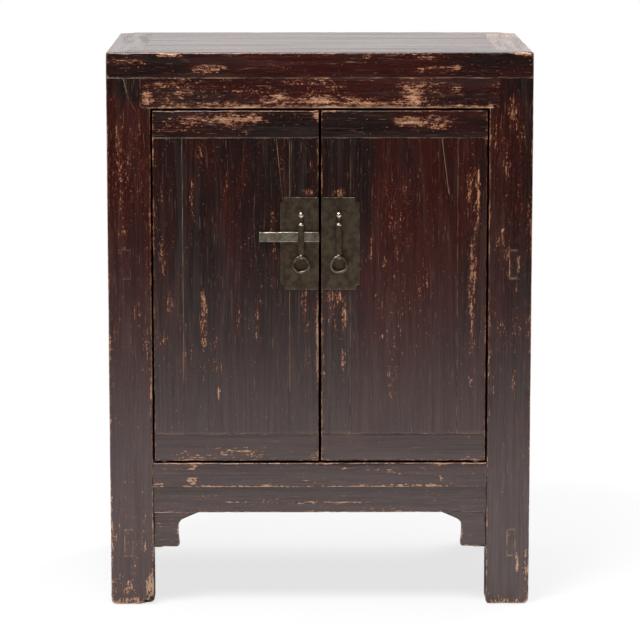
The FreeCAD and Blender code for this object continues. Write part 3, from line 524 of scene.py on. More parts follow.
class CabinetFinish(bpy.types.PropertyGroup):
    """Colours of lacquer, wood, dust and brass."""
    black: colour_property("Black lacquer", "Where the lacquer is thick", paint(19, 12, 11))
    red: colour_property("Red lacquer", "Red-brown lacquer", paint(47, 13, 10))
    thin: colour_property("Thin lacquer", "Lacquer that is nearly worn through", paint(82, 36, 21))
    # Grey that the lacquer takes as a painted reflection of the pale floor low down, and as a painted sheen
    # on the top
    painted_sheen: colour_property("Faded lacquer", "Dull lacquer near the floor", paint(77, 62, 60))
    scuff: colour_property("Scuffs", "Fine open grain in the lacquer", paint(120, 92, 78))
    tan: colour_property("Bare wood", "Wood where the lacquer has gone", paint(166, 113, 71))
    umber: colour_property("Stained wood", "Dark stain in the bare wood", paint(104, 60, 36))
    pale: colour_property("Scrubbed wood", "The palest bare wood", paint(186, 150, 124))
    raw: colour_property("Raw boards", "Unfinished wood inside and behind", paint(152, 118, 84))
    raw_dark: colour_property("Raw grain", "Dark grain of unfinished wood", paint(96, 66, 44))
    dust: colour_property("Joint dust", "Dust and filler in the joints", paint(164, 128, 97))
    brass: colour_property("Brass", "Bright worn brass", paint(206, 196, 176))
    tarnish: colour_property("Tarnish", "Dark tarnish on the brass", paint(74, 61, 50))
    verdigris: colour_property("Verdigris", "Bloom in the tarnish", paint(98, 86, 72))


class CabinetStudio(bpy.types.PropertyGroup):
    """Camera and light."""
    distance: length_property("Camera distance", "From the front of the cabinet", 4.6)
    height: length_property("Camera height", "Above the floor", 1.17)
    aside: length_property("Camera aside", "To the left of the middle", 0.04)
    lens: FloatProperty(name="Lens", description="Focal length in millimetres", default=179)
    pitch: FloatProperty(name="Pitch", description="Downward tilt", default=math.radians(9.16),
                         subtype="ANGLE")
    key: FloatProperty(name="Key light", description="Power of the large lamp", default=76, unit="POWER")
    fill: FloatProperty(name="Fill", description="Strength of the even light", default=0.2)


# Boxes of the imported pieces

def node_box(node):
    """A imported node's lowest and highest corner."""
    return np.array([tuple(corner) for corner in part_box(node)])


def trimmed(node, **spans):
    """A node's box with its tenons left off: the axes named take the spans given."""
    box = node_box(node)
    for axis, ends in spans.items():
        box[:, AXES.index(axis)] = sorted(ends)
    return box


def span(node, axis):
    """A node's extent along an axis."""
    return node_box(node)[:, AXES.index(axis)]


def inner_x(node):
    """The x of a node's side that is nearer to the middle of the cabinet."""
    return min(span(node, "x"), key=abs)


def outer_x(node):
    """The x of a node's side that is farther from the middle of the cabinet."""
    return max(span(node, "x"), key=abs)


def case_front():
    """The y of the posts' front faces."""
    return span("left_front_post", "y")[0]


def toward_middle(side):
    """The sign of x from a side towards the middle of the cabinet."""
    return 1 if side == "left" else -1


def side_faces(side):
    """The names of the outer and the inner face of a piece on a side."""
    return ("x-", "x+") if side == "left" else ("x+", "x-")


def around(middle, width):
    """The span of a width about its middle."""
    return middle + BOTH_WAYS * width / 2


def widened(ends, length):
    """A span with each end moved outwards by a length."""
    return ends + BOTH_WAYS * length


def axes_from(letter):
    """The three axes in turn, from the one named."""
    return [(AXES.index(letter) + turn) % 3 for turn in range(3)]


def face_axis(face, order):
    """A face such as x+ as its axis in a piece's own order of axes and its sign."""
    return order.index(AXES.index(face[0])), 1 if face[1] == "+" else -1


# Noise

def cell_values(cells, seed):
    """Repeatable numbers from 0 to 1 for whole-number cells: the fraction of a stretched sine."""
    mixed = cells @ CELL_WEIGHTS + seed * SEED_WEIGHT
    return np.modf(np.abs(np.sin(mixed)) * SINE_STRETCH)[0]


def smooth_noise(points, seed):
    """Value noise from 0 to 1: numbers at the cells' corners, blended by a smooth step along each axis."""
    cells = np.floor(points)
    part = points - cells
    part = part * part * (3 - 2 * part)
    total = np.zeros(points.shape[:-1])
    for corner in itertools.product((0, 1), repeat=3):
        weight = np.prod(np.where(corner, part, 1 - part), axis=-1)
        total += weight * cell_values(cells + corner, seed)
    return total


def rise(values, low, high):
    """A smooth step from 0 at low to 1 at high."""
    part = np.clip((values - low) / (high - low), 0, 1)
    return part * part * (3 - 2 * part)


# Surfaces: each is a dictionary of points, faces and the values that the materials read

def loop_faces(rows, columns, ring=False):
    """Four-cornered faces between the rows of a grid whose columns close into a loop.

    In a ring the rows close as well.
    """
    row, column = np.meshgrid(np.arange(rows if ring else rows - 1), np.arange(columns), indexing="ij")
    next_row = (row + 1) % rows
    next_column = (column + 1) % columns
    corners = [row * columns + column, row * columns + next_column,
               next_row * columns + next_column, next_row * columns + column]
    return np.stack(corners, axis=-1).reshape(-1, 4)


def facing_out(points, faces):
    """The faces, turned round if the volume that they enclose comes out negative."""
    a, b, c, d = (points[faces[:, corner]] for corner in range(4))
    volume = np.sum(np.cross(a, b) * c) + np.sum(np.cross(a, c) * d)
    return faces if volume > 0 else faces[:, ::-1]


def eased(low, high, step):
    """Places from low to high, a step apart in the middle and half a step apart at both ends."""
    count = max(2, math.ceil((high - low) / step))
    way = np.linspace(-1, 1, count + 1)
    return (low + high) / 2 + (high - low) / 2 * (way + np.sin(way * math.pi / 2)) / 2


def section_loop(half_b, half_c, radius, steps):
    """A rounded rectangle, anticlockwise: shares of the inner rectangle and outward directions."""
    corners = np.array([(-1, -1), (1, -1), (1, 1), (-1, 1)])
    lengths = (2 * (half_b - radius), 2 * (half_c - radius))
    arc = np.linspace(0, math.pi / 2, ARC_STEPS + 1)[1:-1]
    core, turn = [], []
    for side in range(4):
        start = corners[side]
        end = corners[(side + 1) % 4]
        way = eased(0, 1, steps[side % 2] / max(lengths[side % 2], MM))[:, None]
        normal = (side - 1) * math.pi / 2
        core += [start + (end - start) * way, np.tile(end, (len(arc), 1))]
        turn += [np.full(len(way), normal), normal + arc]
    turn = np.concatenate(turn)
    return np.concatenate(core), np.stack([np.cos(turn), np.sin(turn)], axis=1)


def bar_stations(half_length, radius, step):
    """Places along a bar, reach of its round edge and share of its section, with round rims and flat caps."""
    arc = np.linspace(0, math.pi / 2, ARC_STEPS + 1)[1:]
    body = eased(radius - half_length, half_length - radius, step)
    rim = half_length - radius + radius * np.sin(arc)
    cap = np.linspace(1, 0, CAP_STEPS + 1)[1:]
    along = np.concatenate([rim, np.full(CAP_STEPS, half_length)])
    reach = np.concatenate([radius * np.cos(arc), np.zeros(CAP_STEPS)])
    share = np.concatenate([np.ones(ARC_STEPS), cap])
    return (np.concatenate([-along[::-1], body, along]),
            np.concatenate([reach[::-1], np.full(len(body), radius), reach]),
            np.concatenate([share[::-1], np.ones(len(body)), share]))


def set_faces(local, order, abut):
    """For each point and axis, whether the face on its side is set against a neighbour."""
    hidden = np.zeros(local.shape, dtype=bool)
    for face in abut:
        axis, sign = face_axis(face, order)
        hidden[:, axis] |= sign * local[:, axis] > 0
    return hidden


def squared(local, half, hidden, radius, joint_radius):
    """The points with each round edge beside a hidden face drawn out to a tight one.

    On such an edge a point is within the radius of both faces, and both distances shrink alike.
    """
    room = half - np.abs(local)
    for first, second in itertools.combinations(range(3), 2):
        near = (room[:, [first, second]] <= radius * ROUND_REACH).all(axis=1)
        near &= hidden[:, first] | hidden[:, second]
        shrink = np.where(near, joint_radius / radius, 1)
        room[:, first] *= shrink
        room[:, second] *= shrink
    return np.sign(local) * (half - room)


def bar(box, grain, radius, steps, seed, abut=(), wear=0.0, marks=0.0, mitre=None, joint_line=JOINT_LINE):
    """A worn timber: a rounded rectangle carried along the grain, rounded and closed at both ends.

    Point = section corner times share plus outward direction times reach, at each place along the
    grain. Edges beside a neighbour are then tightened. A point is nearest to a free arris where the
    second smallest of its distances to the free faces is small, and there wear moves it inwards, by
    a long noise and by small chips. The plane marks move it by a broad noise everywhere. A mitre
    slides it along the grain by its distance from the outer edge, at both ends, so that the ends
    are cut at 45 degrees.
    """
    order = axes_from(grain)
    middle = box.mean(axis=0)[order]
    half = np.ptp(box, axis=0)[order] / 2
    core, out = section_loop(half[1], half[2], radius, steps[1:])
    along, reach, share = bar_stations(half[0], radius, steps[0])
    local = np.empty((len(along), len(core), 3))
    local[..., 0] = along[:, None]
    local[..., 1:] = (core * (half[1:] - radius)) * share[:, None, None] + out * reach[:, None, None]
    local = local.reshape(-1, 3)
    hidden = set_faces(local, order, abut)
    local = squared(local, half, hidden, radius, min(radius, JOINT_RADIUS))
    room = half - np.abs(local)
    joint_distance = np.where(hidden, room, FAR).min(axis=1)
    arris = np.exp(-np.sort(np.where(hidden, FAR, room), axis=1)[:, 1] / ARRIS_REACH)
    soft = np.minimum(half, EDGE_SOFTNESS)
    outward = local - np.clip(local, soft - half, half - soft)
    outward /= np.linalg.norm(outward, axis=-1, keepdims=True) + TINY
    long_wear = smooth_noise(local / LONG_WEAR_SIZE, seed)
    chips = rise(smooth_noise(local / CHIP_SIZE, seed + 1), *CHIP_LEVELS)
    depth = wear * arris * (EVEN_ROUNDING + LONG_ROUNDING * long_wear + CHIP_ROUNDING * chips)
    depth += marks * smooth_noise(local / PLANE_MARK_SIZE, seed + 2)
    placed = local - outward * depth[:, None]
    if mitre is not None:
        axis, sign = face_axis(mitre, order)
        inset = half[axis] - sign * local[:, axis]
        placed[:, 0] -= inset * local[:, 0] / half[0]
    points = np.empty_like(placed)
    points[:, order] = placed + middle
    offset = cell_values(np.array([(seed, axis, 0) for axis in (1, 2, 3)]), seed) * GRAIN_SPREAD
    return {
        "points": points,
        "faces": loop_faces(len(along), len(core)),
        "grain": local + offset,
        "arris": arris,
        "joint": np.exp(-joint_distance / joint_line) * (joint_distance < FAR),
    }


def plain_surface(points, faces, seed=0, arris=0.0):
    """A surface whose grain follows the axes and that has no worn arris of its own."""
    count = len(points)
    return {
        "points": points,
        "faces": facing_out(points, faces),
        "grain": points + seed,
        "arris": np.zeros(count) + arris,
        "joint": np.zeros(count),
    }


def turned(radii, heights, middle, arris=0.0):
    """A turned form: each radius is carried round a vertical axis at its height."""
    angle = np.linspace(0, 2 * math.pi, TURNED_SIDES, endpoint=False)
    points = np.empty((len(radii), TURNED_SIDES, 3))
    points[..., 0] = middle[0] + np.outer(radii, np.cos(angle))
    points[..., 1] = middle[1] + np.outer(radii, np.sin(angle))
    points[..., 2] = np.asarray(heights)[:, None]
    return plain_surface(points.reshape(-1, 3), loop_faces(len(radii), TURNED_SIDES), arris=arris)


def hoop(middle, axis, radius, wire, stretch=1.0, arris=0.0, rows=HOOP_ROWS):
    """A wire ring: a small circle carried round a large one about an axis, stretched along the axis."""
    order = axes_from(axis)
    main = np.linspace(0, 2 * math.pi, rows, endpoint=False)[:, None]
    small = np.linspace(0, 2 * math.pi, WIRE_SIDES, endpoint=False)[None, :]
    reach = radius + wire * np.cos(small) * np.ones_like(main)
    points = np.empty((rows, WIRE_SIDES, 3))
    points[..., order[0]] = wire * stretch * np.sin(small)
    points[..., order[1]] = reach * np.cos(main)
    points[..., order[2]] = reach * np.sin(main)
    return plain_surface(points.reshape(-1, 3) + middle, loop_faces(rows, WIRE_SIDES, ring=True), arris=arris)


# From surfaces to pieces

def front_patches(patches, points):
    """Strengths of patches on the front, each a flat-topped bell: one column for each patch.

    A bell falls with the fourth power of the distance, which two noises make ragged.
    """
    x, z, reach_x, reach_z, strength = np.array(patches or [NO_PATCH], dtype=float).T
    ragged = [(smooth_noise(points / RAGGED_SIZE, seed) - 0.5)[:, None] for seed in RAGGED_SEEDS]
    along = (points[:, None, 0] / MM - x) / reach_x + ragged[0]
    up = (points[:, None, 2] / MM - z) / reach_z + ragged[1]
    at_front = points[:, 1] < case_front() + PATCH_DEPTH
    return strength * np.exp(-PATCH_FALL * (along ** 2 + up ** 2) ** 2) * at_front[:, None]


def worn_share(node, points):
    """How far the lacquer has gone: the strongest of the piece's patches over its even wear."""
    clusters = CLUSTER_LEAST + CLUSTER_GAIN * smooth_noise(points / CLUSTER_SIZE, CLUSTER_SEED)
    even = EVEN_WEAR.get(node, DOOR_WEAR if "_door_" in node else PLAIN_WEAR) * clusters
    if node.startswith("top_"):
        even *= np.where(points[:, 2] > span(node, "z")[1] - TOP_FACE_DEPTH, 1, EDGE_WEAR)
    patches = front_patches(WORN_PATCHES.get(node), points).max(axis=1)
    return np.maximum(patches, even) + WEAR_UNDER_PATCH * even


def seed_of_node(node):
    """A whole number of a piece's own, from the letters of its name."""
    return sum(ord(letter) * (place + 1) for place, letter in enumerate(node)) % NAME_SEEDS


def red_share(node, points):
    """Share of red in the lacquer: the piece's own, changed by its patches."""
    chance = cell_values(np.array([seed_of_node(node), *VARIETY_CELL]), VARIETY_SEED)
    varied = PLAIN_TONE + PIECE_VARIETY * (chance - 0.5)
    return TONES.get(node, varied) + front_patches(TONE_PATCHES.get(node), points).sum(axis=1)


def crack_distance(node, points):
    """Signed distance to the nearest crack of the front, which grows past the crack's ends."""
    nearest = np.full(len(points), FAR)
    for line in CRACKS.get(node, []):
        start = np.array(line[:2]) * MM
        run = np.array(line[2:]) * MM - start
        length = np.linalg.norm(run)
        offset = points[:, (0, 2)] - start
        way = offset @ run / length
        side = (offset[:, 0] * run[1] - offset[:, 1] * run[0]) / length
        past = np.maximum(0, np.maximum(-way, way - length))
        signed = side + np.where(side < 0, -1, 1) * past
        nearest = np.where(np.abs(signed) < np.abs(nearest), signed, nearest)
    at_front = points[:, 1] < case_front() + CRACK_FRONT
    return np.where(at_front, nearest, FAR)


def inside_share(node, points):
    """1 where a surface faces the inside of the case, which was never lacquered.

    The edges round a door are lacquered up to its back.
    """
    x, y, z = points.T
    recess = np.full(len(points), LACQUERED_REVEAL)
    if "_door_" in node:
        door = node.split("_door_")[0] + "_door"
        sides = np.concatenate([span(f"{door}_hinge_stile", "x"), span(f"{door}_meeting_stile", "x")])
        ends = np.concatenate([span(f"{door}_bottom_rail", "z"), span(f"{door}_top_rail", "z")])
        room = np.minimum.reduce([x - sides.min(), sides.max() - x, z - ends.min(), ends.max() - z])
        recess = np.where(room < DOOR_EDGE, LACQUERED_REVEAL, PANEL_RECESS)
    door_back = span("left_door_top_rail", "y")[1]
    rear = span("rear_upper_panel", "y")[0]
    floor = span("front_sill_rail", "z")[0]
    ceiling = span("top_board_1", "z")[0]
    within_x = np.abs(x) < span("right_side_upper_panel", "x")[0] + INSIDE_PLAY
    within_y = (y > door_back - recess) & (y < rear + INSIDE_PLAY)
    within_z = (z > floor + INSIDE_PLAY) & (z < ceiling + 2 * INSIDE_PLAY)
    return (within_x & within_y & within_z).astype(float)


def bitten(node, points):
    """The points with the broken corners taken off: each bite pushes them inwards by a rough bell."""
    points = points.copy()
    for x, y, z, reach, depth in BITES.get(node, []):
        at_foot = z < BITE_FOOT_HEIGHT
        inner = at_foot and abs(x) < BITE_INNER_X
        across = BITE_INNER_ACROSS if inner else -BITE_ACROSS
        inward = np.array([across * np.sign(x), -BITE_BACK * np.sign(y), 1.0 if at_foot else -1.0])
        away = np.linalg.norm(points - np.array([x, y, z]) * MM, axis=1) / (reach * MM)
        noise = smooth_noise(points / BITE_ROUGH_SIZE, reach)
        rough = BITE_ROUGH_LEAST + BITE_ROUGH_GAIN * noise
        points += inward * (depth * MM * (1 - rise(away, BITE_CORE, 1)) * rough)[:, None]
    return points


def join_surfaces(surfaces):
    """Several surfaces as one, with their faces renumbered."""
    starts = np.cumsum([0] + [len(surface["points"]) for surface in surfaces[:-1]])
    keys = [key for key in surfaces[0] if key != "faces"]
    joined = {key: np.concatenate([surface[key] for surface in surfaces]) for key in keys}
    joined["faces"] = np.concatenate([surface["faces"] + start for surface, start in zip(surfaces, starts)])
    return joined


def new_mesh(name, surface, values):
    """A smooth mesh with named values at its points and its doubled points merged."""
    mesh = bpy.data.meshes.new(name)
    faces = surface["faces"]
    mesh.vertices.add(len(surface["points"]))
    mesh.vertices.foreach_set("co", surface["points"].astype(np.float32).ravel())
    mesh.loops.add(faces.size)
    mesh.loops.foreach_set("vertex_index", faces.astype(np.int32).ravel())
    mesh.polygons.add(len(faces))
    mesh.polygons.foreach_set("loop_start", np.arange(0, faces.size, 4, dtype=np.int32))
    mesh.update(calc_edges=True)
    for key, value in values.items():
        if value.ndim == 2:
            layer = mesh.attributes.new(key, "FLOAT_VECTOR", "POINT")
            layer.data.foreach_set("vector", value.astype(np.float32).ravel())
        else:
            layer = mesh.attributes.new(key, "FLOAT", "POINT")
            layer.data.foreach_set("value", value.astype(np.float32))
    shape = bmesh.new()
    shape.from_mesh(mesh)
    bmesh.ops.remove_doubles(shape, verts=shape.verts, dist=MERGE_DISTANCE)
    shape.to_mesh(mesh)
    shape.free()
    mesh.polygons.foreach_set("use_smooth", np.ones(len(mesh.polygons), dtype=bool))
    mesh.update()
    return mesh


def body_of_node(node):
    """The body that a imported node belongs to."""
    bodies = frame["record"]["behaviour"]["bodies"]
    return next(body for body, nodes in bodies.items() if node in nodes)


def slot_of_node(node):
    """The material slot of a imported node."""
    return next(part["material_slot"] for part in frame["record"]["subparts"] if part["node"] == node)


def make_piece(context, node, surfaces):
    """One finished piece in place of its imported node, with the values that its material reads."""
    surface = join_surfaces(surfaces)
    surface["points"] = bitten(node, surface["points"])
    points = surface["points"]
    crack = crack_distance(node, points)
    points[:, 1] += CRACK_DEPTH * np.exp(-(crack / CRACK_WIDTH) ** 2)
    values = {
        "grain": surface["grain"],
        "arris": surface["arris"],
        "joint": surface["joint"] * (DOOR_JOINT_SHOW if "_door_" in node else 1),
        "worn": worn_share(node, points),
        "crack": crack,
        "inside": inside_share(node, points),
        "tone": red_share(node, points),
        # Share of painted sheen: a painted reflection of the floor, full low down and gone higher up, plus a
        # share on the top pieces
        "painted_sheen": 1 - rise(points[:, 2], SHEEN_FULL_BELOW, SHEEN_NONE_ABOVE) + SHEEN_PIECES.get(node, 0),
    }
    slot = slot_of_node(node)
    name = f"worn_{node}"
    piece = bpy.data.objects.new(name, new_mesh(name, surface, values))
    context.scene.collection.objects.link(piece)
    piece.data.materials.append(MATERIALS[slot](context.scene.cabinet_finish))
    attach(piece, body_of_node(node))
    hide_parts(node)


def timber(context, node, grain, box=None, abut="", radius=None, steps=None, wear=1.0, mitre=None):
    """The worn surface of one timber; abut names the faces set against neighbours, such as x+ z-."""
    sizes = context.scene.cabinet_timber
    if box is None:
        box = node_box(node)
    if radius is None:
        radius = sizes.free_arris
    if steps is None:
        steps = (LENGTH_STEP, TIMBER_STEP, TIMBER_STEP)
    return bar(box, grain, radius, steps, seed_of_node(node), tuple(abut.split()), wear * sizes.wear_depth,
               sizes.plane_marks, mitre)


# Shader nodes

def add_node(tree, kind, inputs=None, **settings):
    """A shader node with its settings made and its inputs set or linked."""
    node = tree.nodes.new(f"ShaderNode{kind}")
    for key, value in settings.items():
        setattr(node, key, value)
    for socket, value in (inputs or {}).items():
        if isinstance(value, bpy.types.NodeSocket):
            tree.links.new(value, node.inputs[socket])
        else:
            node.inputs[socket].default_value = value
    return node


def calc(tree, operation, first, second=0.0):
    """The result of a calculation on two values."""
    return add_node(tree, "Math", {0: first, 1: second}, operation=operation).outputs[0]


def times(tree, value, factor):
    """A value times a factor."""
    return calc(tree, "MULTIPLY", value, factor)


def added(tree, *values):
    """Values added up."""
    return functools.reduce(functools.partial(calc, tree, "ADD"), values)


def largest(tree, *values):
    """The largest of some values."""
    return functools.reduce(functools.partial(calc, tree, "MAXIMUM"), values)


def step_up(tree, value, low, high, top=1.0):
    """A smooth step from 0 at low to top at high."""
    node = add_node(tree, "MapRange", {"Value": value, "From Min": low, "From Max": high, "To Max": top},
                    interpolation_type="SMOOTHSTEP")
    return node.outputs["Result"]


def blend(tree, share, first, second):
    """Two colours mixed by a share."""
    inputs = {0: share}
    for socket, colour in zip(MIX_COLOURS, (first, second)):
        inputs[socket] = colour if isinstance(colour, bpy.types.NodeSocket) else (*colour[:3], 1)
    return add_node(tree, "Mix", inputs, data_type="RGBA").outputs[MIX_RESULT]


def stretched_noise(tree, vector, scales, detail, roughness=NOISE_ROUGHNESS):
    """Noise with its own scale along and across the grain, per metre."""
    scaled = add_node(tree, "VectorMath", {0: vector, 1: scales}, operation="MULTIPLY").outputs[0]
    settings = {"Vector": scaled, "Scale": 1.0, "Detail": detail, "Roughness": roughness}
    return add_node(tree, "TexNoise", settings).outputs["Fac"]


def point_value(tree, name):
    """A named value of the surface."""
    return add_node(tree, "Attribute", attribute_name=name).outputs["Fac"]


def grain_vector(tree):
    """Place in the timber, first along its grain."""
    return add_node(tree, "Attribute", attribute_name="grain").outputs["Vector"]


def made_once(store, name):
    """Marks a maker whose result is kept in one of Blender's stores under a name and made only once."""
    def mark(make):
        @functools.wraps(make)
        def get(*given):
            found = getattr(bpy.data, store).get(name)
            return make(name, *given) if found is None else found
        return get
    return mark


def new_group(name, inputs, outputs):
    """An empty node group with value inputs and outputs, a vector first."""
    group = bpy.data.node_groups.new(name, "ShaderNodeTree")
    group.interface.new_socket(name="Vector", in_out="INPUT", socket_type="NodeSocketVector")
    for way, sockets in (("INPUT", inputs), ("OUTPUT", outputs)):
        for socket in sockets:
            group.interface.new_socket(name=socket, in_out=way, socket_type="NodeSocketFloat")
    return group, group.nodes.new("NodeGroupInput").outputs, group.nodes.new("NodeGroupOutput").inputs


def put_out(group, result, **values):
    """Links values to the outputs of a group that have their names."""
    for name, value in values.items():
        group.links.new(value, result[name])


@made_once("node_groups", "Timber grain")
def grain_group(name):
    """Wood grain: thin streaks along the fibre, broad figure, short pores, fine open checks and growth rings.

    The rings are a sine over the distance across the grain, which long noises bend.
    """
    group, given, result = new_group(name, [], ["Streak", "Figure", "Pore", "Check", "Hairline", "Ring"])
    place = given["Vector"]
    bend = times(group, stretched_noise(group, place, *BEND_NOISE), GRAIN_BEND)
    shift = add_node(group, "CombineXYZ", {"Y": bend}).outputs[0]
    vector = add_node(group, "VectorMath", {0: place, 1: shift}, operation="ADD").outputs[0]
    across = add_node(group, "VectorMath", {0: place, 1: RING_SLANT}, operation="DOT_PRODUCT")
    sway = times(group, stretched_noise(group, place, *SWAY_NOISE), RING_SWAY)
    ripple = times(group, stretched_noise(group, place, *RIPPLE_NOISE), RING_WIDTH)
    bent = added(group, across.outputs["Value"], sway, ripple)
    turn = calc(group, "DIVIDE", bent, RING_WIDTH / (2 * math.pi))
    put_out(
        group, result,
        Streak=stretched_noise(group, vector, *STREAK_NOISE),
        Figure=stretched_noise(group, vector, *FIGURE_NOISE),
        Pore=step_up(group, stretched_noise(group, vector, *PORE_NOISE), *PORE_LEVELS),
        Check=step_up(group, stretched_noise(group, vector, *CHECK_NOISE), *CHECK_LEVELS),
        Hairline=step_up(group, stretched_noise(group, place, *HAIRLINE_NOISE), *HAIRLINE_LEVELS),
        Ring=step_up(group, calc(group, "SINE", turn), *RING_LEVELS),
    )
    return group


@made_once("node_groups", "Lacquer loss")
def loss_group(name):
    """Lacquer loss: bare flecks drawn out along the grain, and a thin zone round them.

    Noises of four sizes make one field. It is cut at a level that drops where the lacquer is worn
    and near a free arris.
    """
    group, given, result = new_group(name, ["Worn", "Arris"], ["Bare", "Thin", "Raw"])
    layers = [times(group, stretched_noise(group, given["Vector"], scales, detail), share)
              for share, scales, detail in LOSS_NOISES]
    worn = times(group, given["Worn"], WORN_LOSS)
    edge = times(group, calc(group, "POWER", given["Arris"], ARRIS_POWER), ARRIS_LOSS)
    level = added(group, *layers, worn, edge)
    put_out(
        group, result,
        Bare=step_up(group, level, *BARE_LEVELS),
        Thin=step_up(group, level, *THIN_LEVELS),
        Raw=step_up(group, level, *RAW_LEVELS),
    )
    return group


@made_once("node_groups", "Settled dust")
def dust_group(name):
    """Dust in joints and cracks, broken up along the line, and pale specks on the face."""
    group, given, result = new_group(name, ["Joint", "Crack"], ["Dust"])
    patchy = stretched_noise(group, given["Vector"], *PATCHY_NOISE)
    width = calc(group, "ABSOLUTE", given["Crack"])
    crack = calc(group, "SUBTRACT", 1.0, step_up(group, width, *CRACK_LEVELS))
    crack = times(group, crack, step_up(group, patchy, *CRACK_DUST_LEVELS))
    joint = step_up(group, given["Joint"], *JOINT_LEVELS)
    joint = times(group, joint, step_up(group, patchy, *JOINT_DUST_LEVELS))
    specks = step_up(group, stretched_noise(group, given["Vector"], *SPECK_NOISE), *SPECK_LEVELS)
    put_out(group, result, Dust=largest(group, joint, crack, specks))
    return group


@made_once("node_groups", "Brass patina")
def patina_group(name):
    """Brass patina: cloudy tarnish and bright metal at worn edges."""
    group, given, result = new_group(name, ["Arris"], ["Bright", "Bloom", "Grit"])
    cloud = stretched_noise(group, given["Vector"], *TARNISH_NOISE)
    edge = added(group, times(group, given["Arris"], BRIGHT_ARRIS), times(group, cloud, BRIGHT_CLOUD))
    put_out(
        group, result,
        Bright=step_up(group, edge, *BRIGHT_LEVELS),
        Bloom=step_up(group, cloud, *BLOOM_LEVELS),
        Grit=stretched_noise(group, given["Vector"], *GRIT_NOISE),
    )
    return group


def use_group(tree, group, *names):
    """A node group placed in a material and fed with the grain and named values of the surface."""
    inputs = {"Vector": grain_vector(tree)}
    for name in names:
        inputs[name.capitalize()] = point_value(tree, name)
    return add_node(tree, "Group", inputs, node_tree=group).outputs


def new_material(name):
    """A material with its Principled shader."""
    material = bpy.data.materials.new(name)
    material.use_nodes = True
    return material, material.node_tree, material.node_tree.nodes["Principled BSDF"]


def set_surface(tree, shader, colour, roughness, height, strength, distance):
    """Links a shader's colour and roughness, and its relief from a height."""
    bump = add_node(tree, "Bump", {"Height": height, "Strength": strength, "Distance": distance})
    tree.links.new(colour, shader.inputs["Base Color"])
    tree.links.new(roughness, shader.inputs["Roughness"])
    tree.links.new(bump.outputs["Normal"], shader.inputs["Normal"])


def raw_colour(tree, grain, finish, ring_share):
    """Unfinished wood: light and dark streaks, and dark growth rings."""
    raw = blend(tree, step_up(tree, grain["Streak"], *RAW_STREAK_LEVELS), finish.raw_dark, finish.raw)
    return blend(tree, times(tree, grain["Ring"], ring_share), raw, finish.raw_dark)


def lacquer_colour(tree, grain, loss, painted_sheen, finish):
    """Black to red-brown lacquer with painted sheen in grain streaks, scuffed along the grain and thin round
    the bare flecks.
    """
    cloud = stretched_noise(tree, grain_vector(tree), *LACQUER_NOISE)
    spread = times(tree, calc(tree, "SUBTRACT", cloud, 0.5), RED_SPREAD)
    tone = added(tree, point_value(tree, "tone"), spread)
    lacquer = blend(tree, step_up(tree, tone, *RED_LEVELS), finish.black, finish.red)
    shade = step_up(tree, grain["Streak"], *SHADE_LEVELS)
    lacquer = blend(tree, times(tree, shade, SHADE_SHARE), lacquer, finish.thin)
    # Painted sheen: grey laid over the lacquer, a painted reflection of the pale floor, broken up along the
    # grain
    uneven = added(tree, step_up(tree, grain["Streak"], *SHEEN_STREAK_LEVELS), SHEEN_LEAST)
    lacquer = blend(tree, times(tree, painted_sheen, uneven), lacquer, finish.painted_sheen)
    checks = times(tree, grain["Check"], CHECK_SHARE)
    hairlines = times(tree, grain["Hairline"], HAIRLINE_SHARE)
    lacquer = blend(tree, largest(tree, checks, hairlines), lacquer, finish.scuff)
    return blend(tree, times(tree, loss["Thin"], THIN_SHARE), lacquer, finish.thin)


@made_once("materials", "Worn lacquer")
def worn_lacquer(name, finish):
    """Dark lacquer over softwood: black to red-brown, worn through in flecks, bare inside the case."""
    material, tree, shader = new_material(name)
    grain = use_group(tree, grain_group())
    loss = use_group(tree, loss_group(), "worn", "arris")
    dust = use_group(tree, dust_group(), "joint", "crack")["Dust"]
    painted_sheen = point_value(tree, "painted_sheen")
    inside = point_value(tree, "inside")
    wood = blend(tree, step_up(tree, grain["Streak"], *TAN_LEVELS), finish.umber, finish.tan)
    # Bare wood pales where the lacquer is scrubbed raw, and under the painted sheen as well
    scrubbed_and_sheen = largest(tree, loss["Raw"], times(tree, painted_sheen, SCRUB_AND_SHEEN_SHARE))
    wood = blend(tree, scrubbed_and_sheen, wood, finish.pale)
    colour = blend(tree, loss["Bare"], lacquer_colour(tree, grain, loss, painted_sheen, finish), wood)
    colour = blend(tree, times(tree, dust, DUST_SHARE), colour, finish.dust)
    colour = blend(tree, inside, colour, raw_colour(tree, grain, finish, INSIDE_RING_SHARE))
    streaked = times(tree, grain["Streak"], LACQUER_STREAK_ROUGHNESS)
    matt = times(tree, largest(tree, loss["Bare"], dust, inside), MATT_ROUGHNESS)
    dulled = step_up(tree, grain["Figure"], *DULL_LEVELS)
    roughness = added(tree, streaked, matt, dulled, LACQUER_ROUGHNESS)
    height = calc(tree, "SUBTRACT", times(tree, grain["Streak"], LACQUER_STREAK_HEIGHT), loss["Bare"])
    height = calc(tree, "SUBTRACT", height, times(tree, grain["Pore"], LACQUER_PORE_HEIGHT))
    set_surface(tree, shader, colour, roughness, height, *LACQUER_RELIEF)
    return material


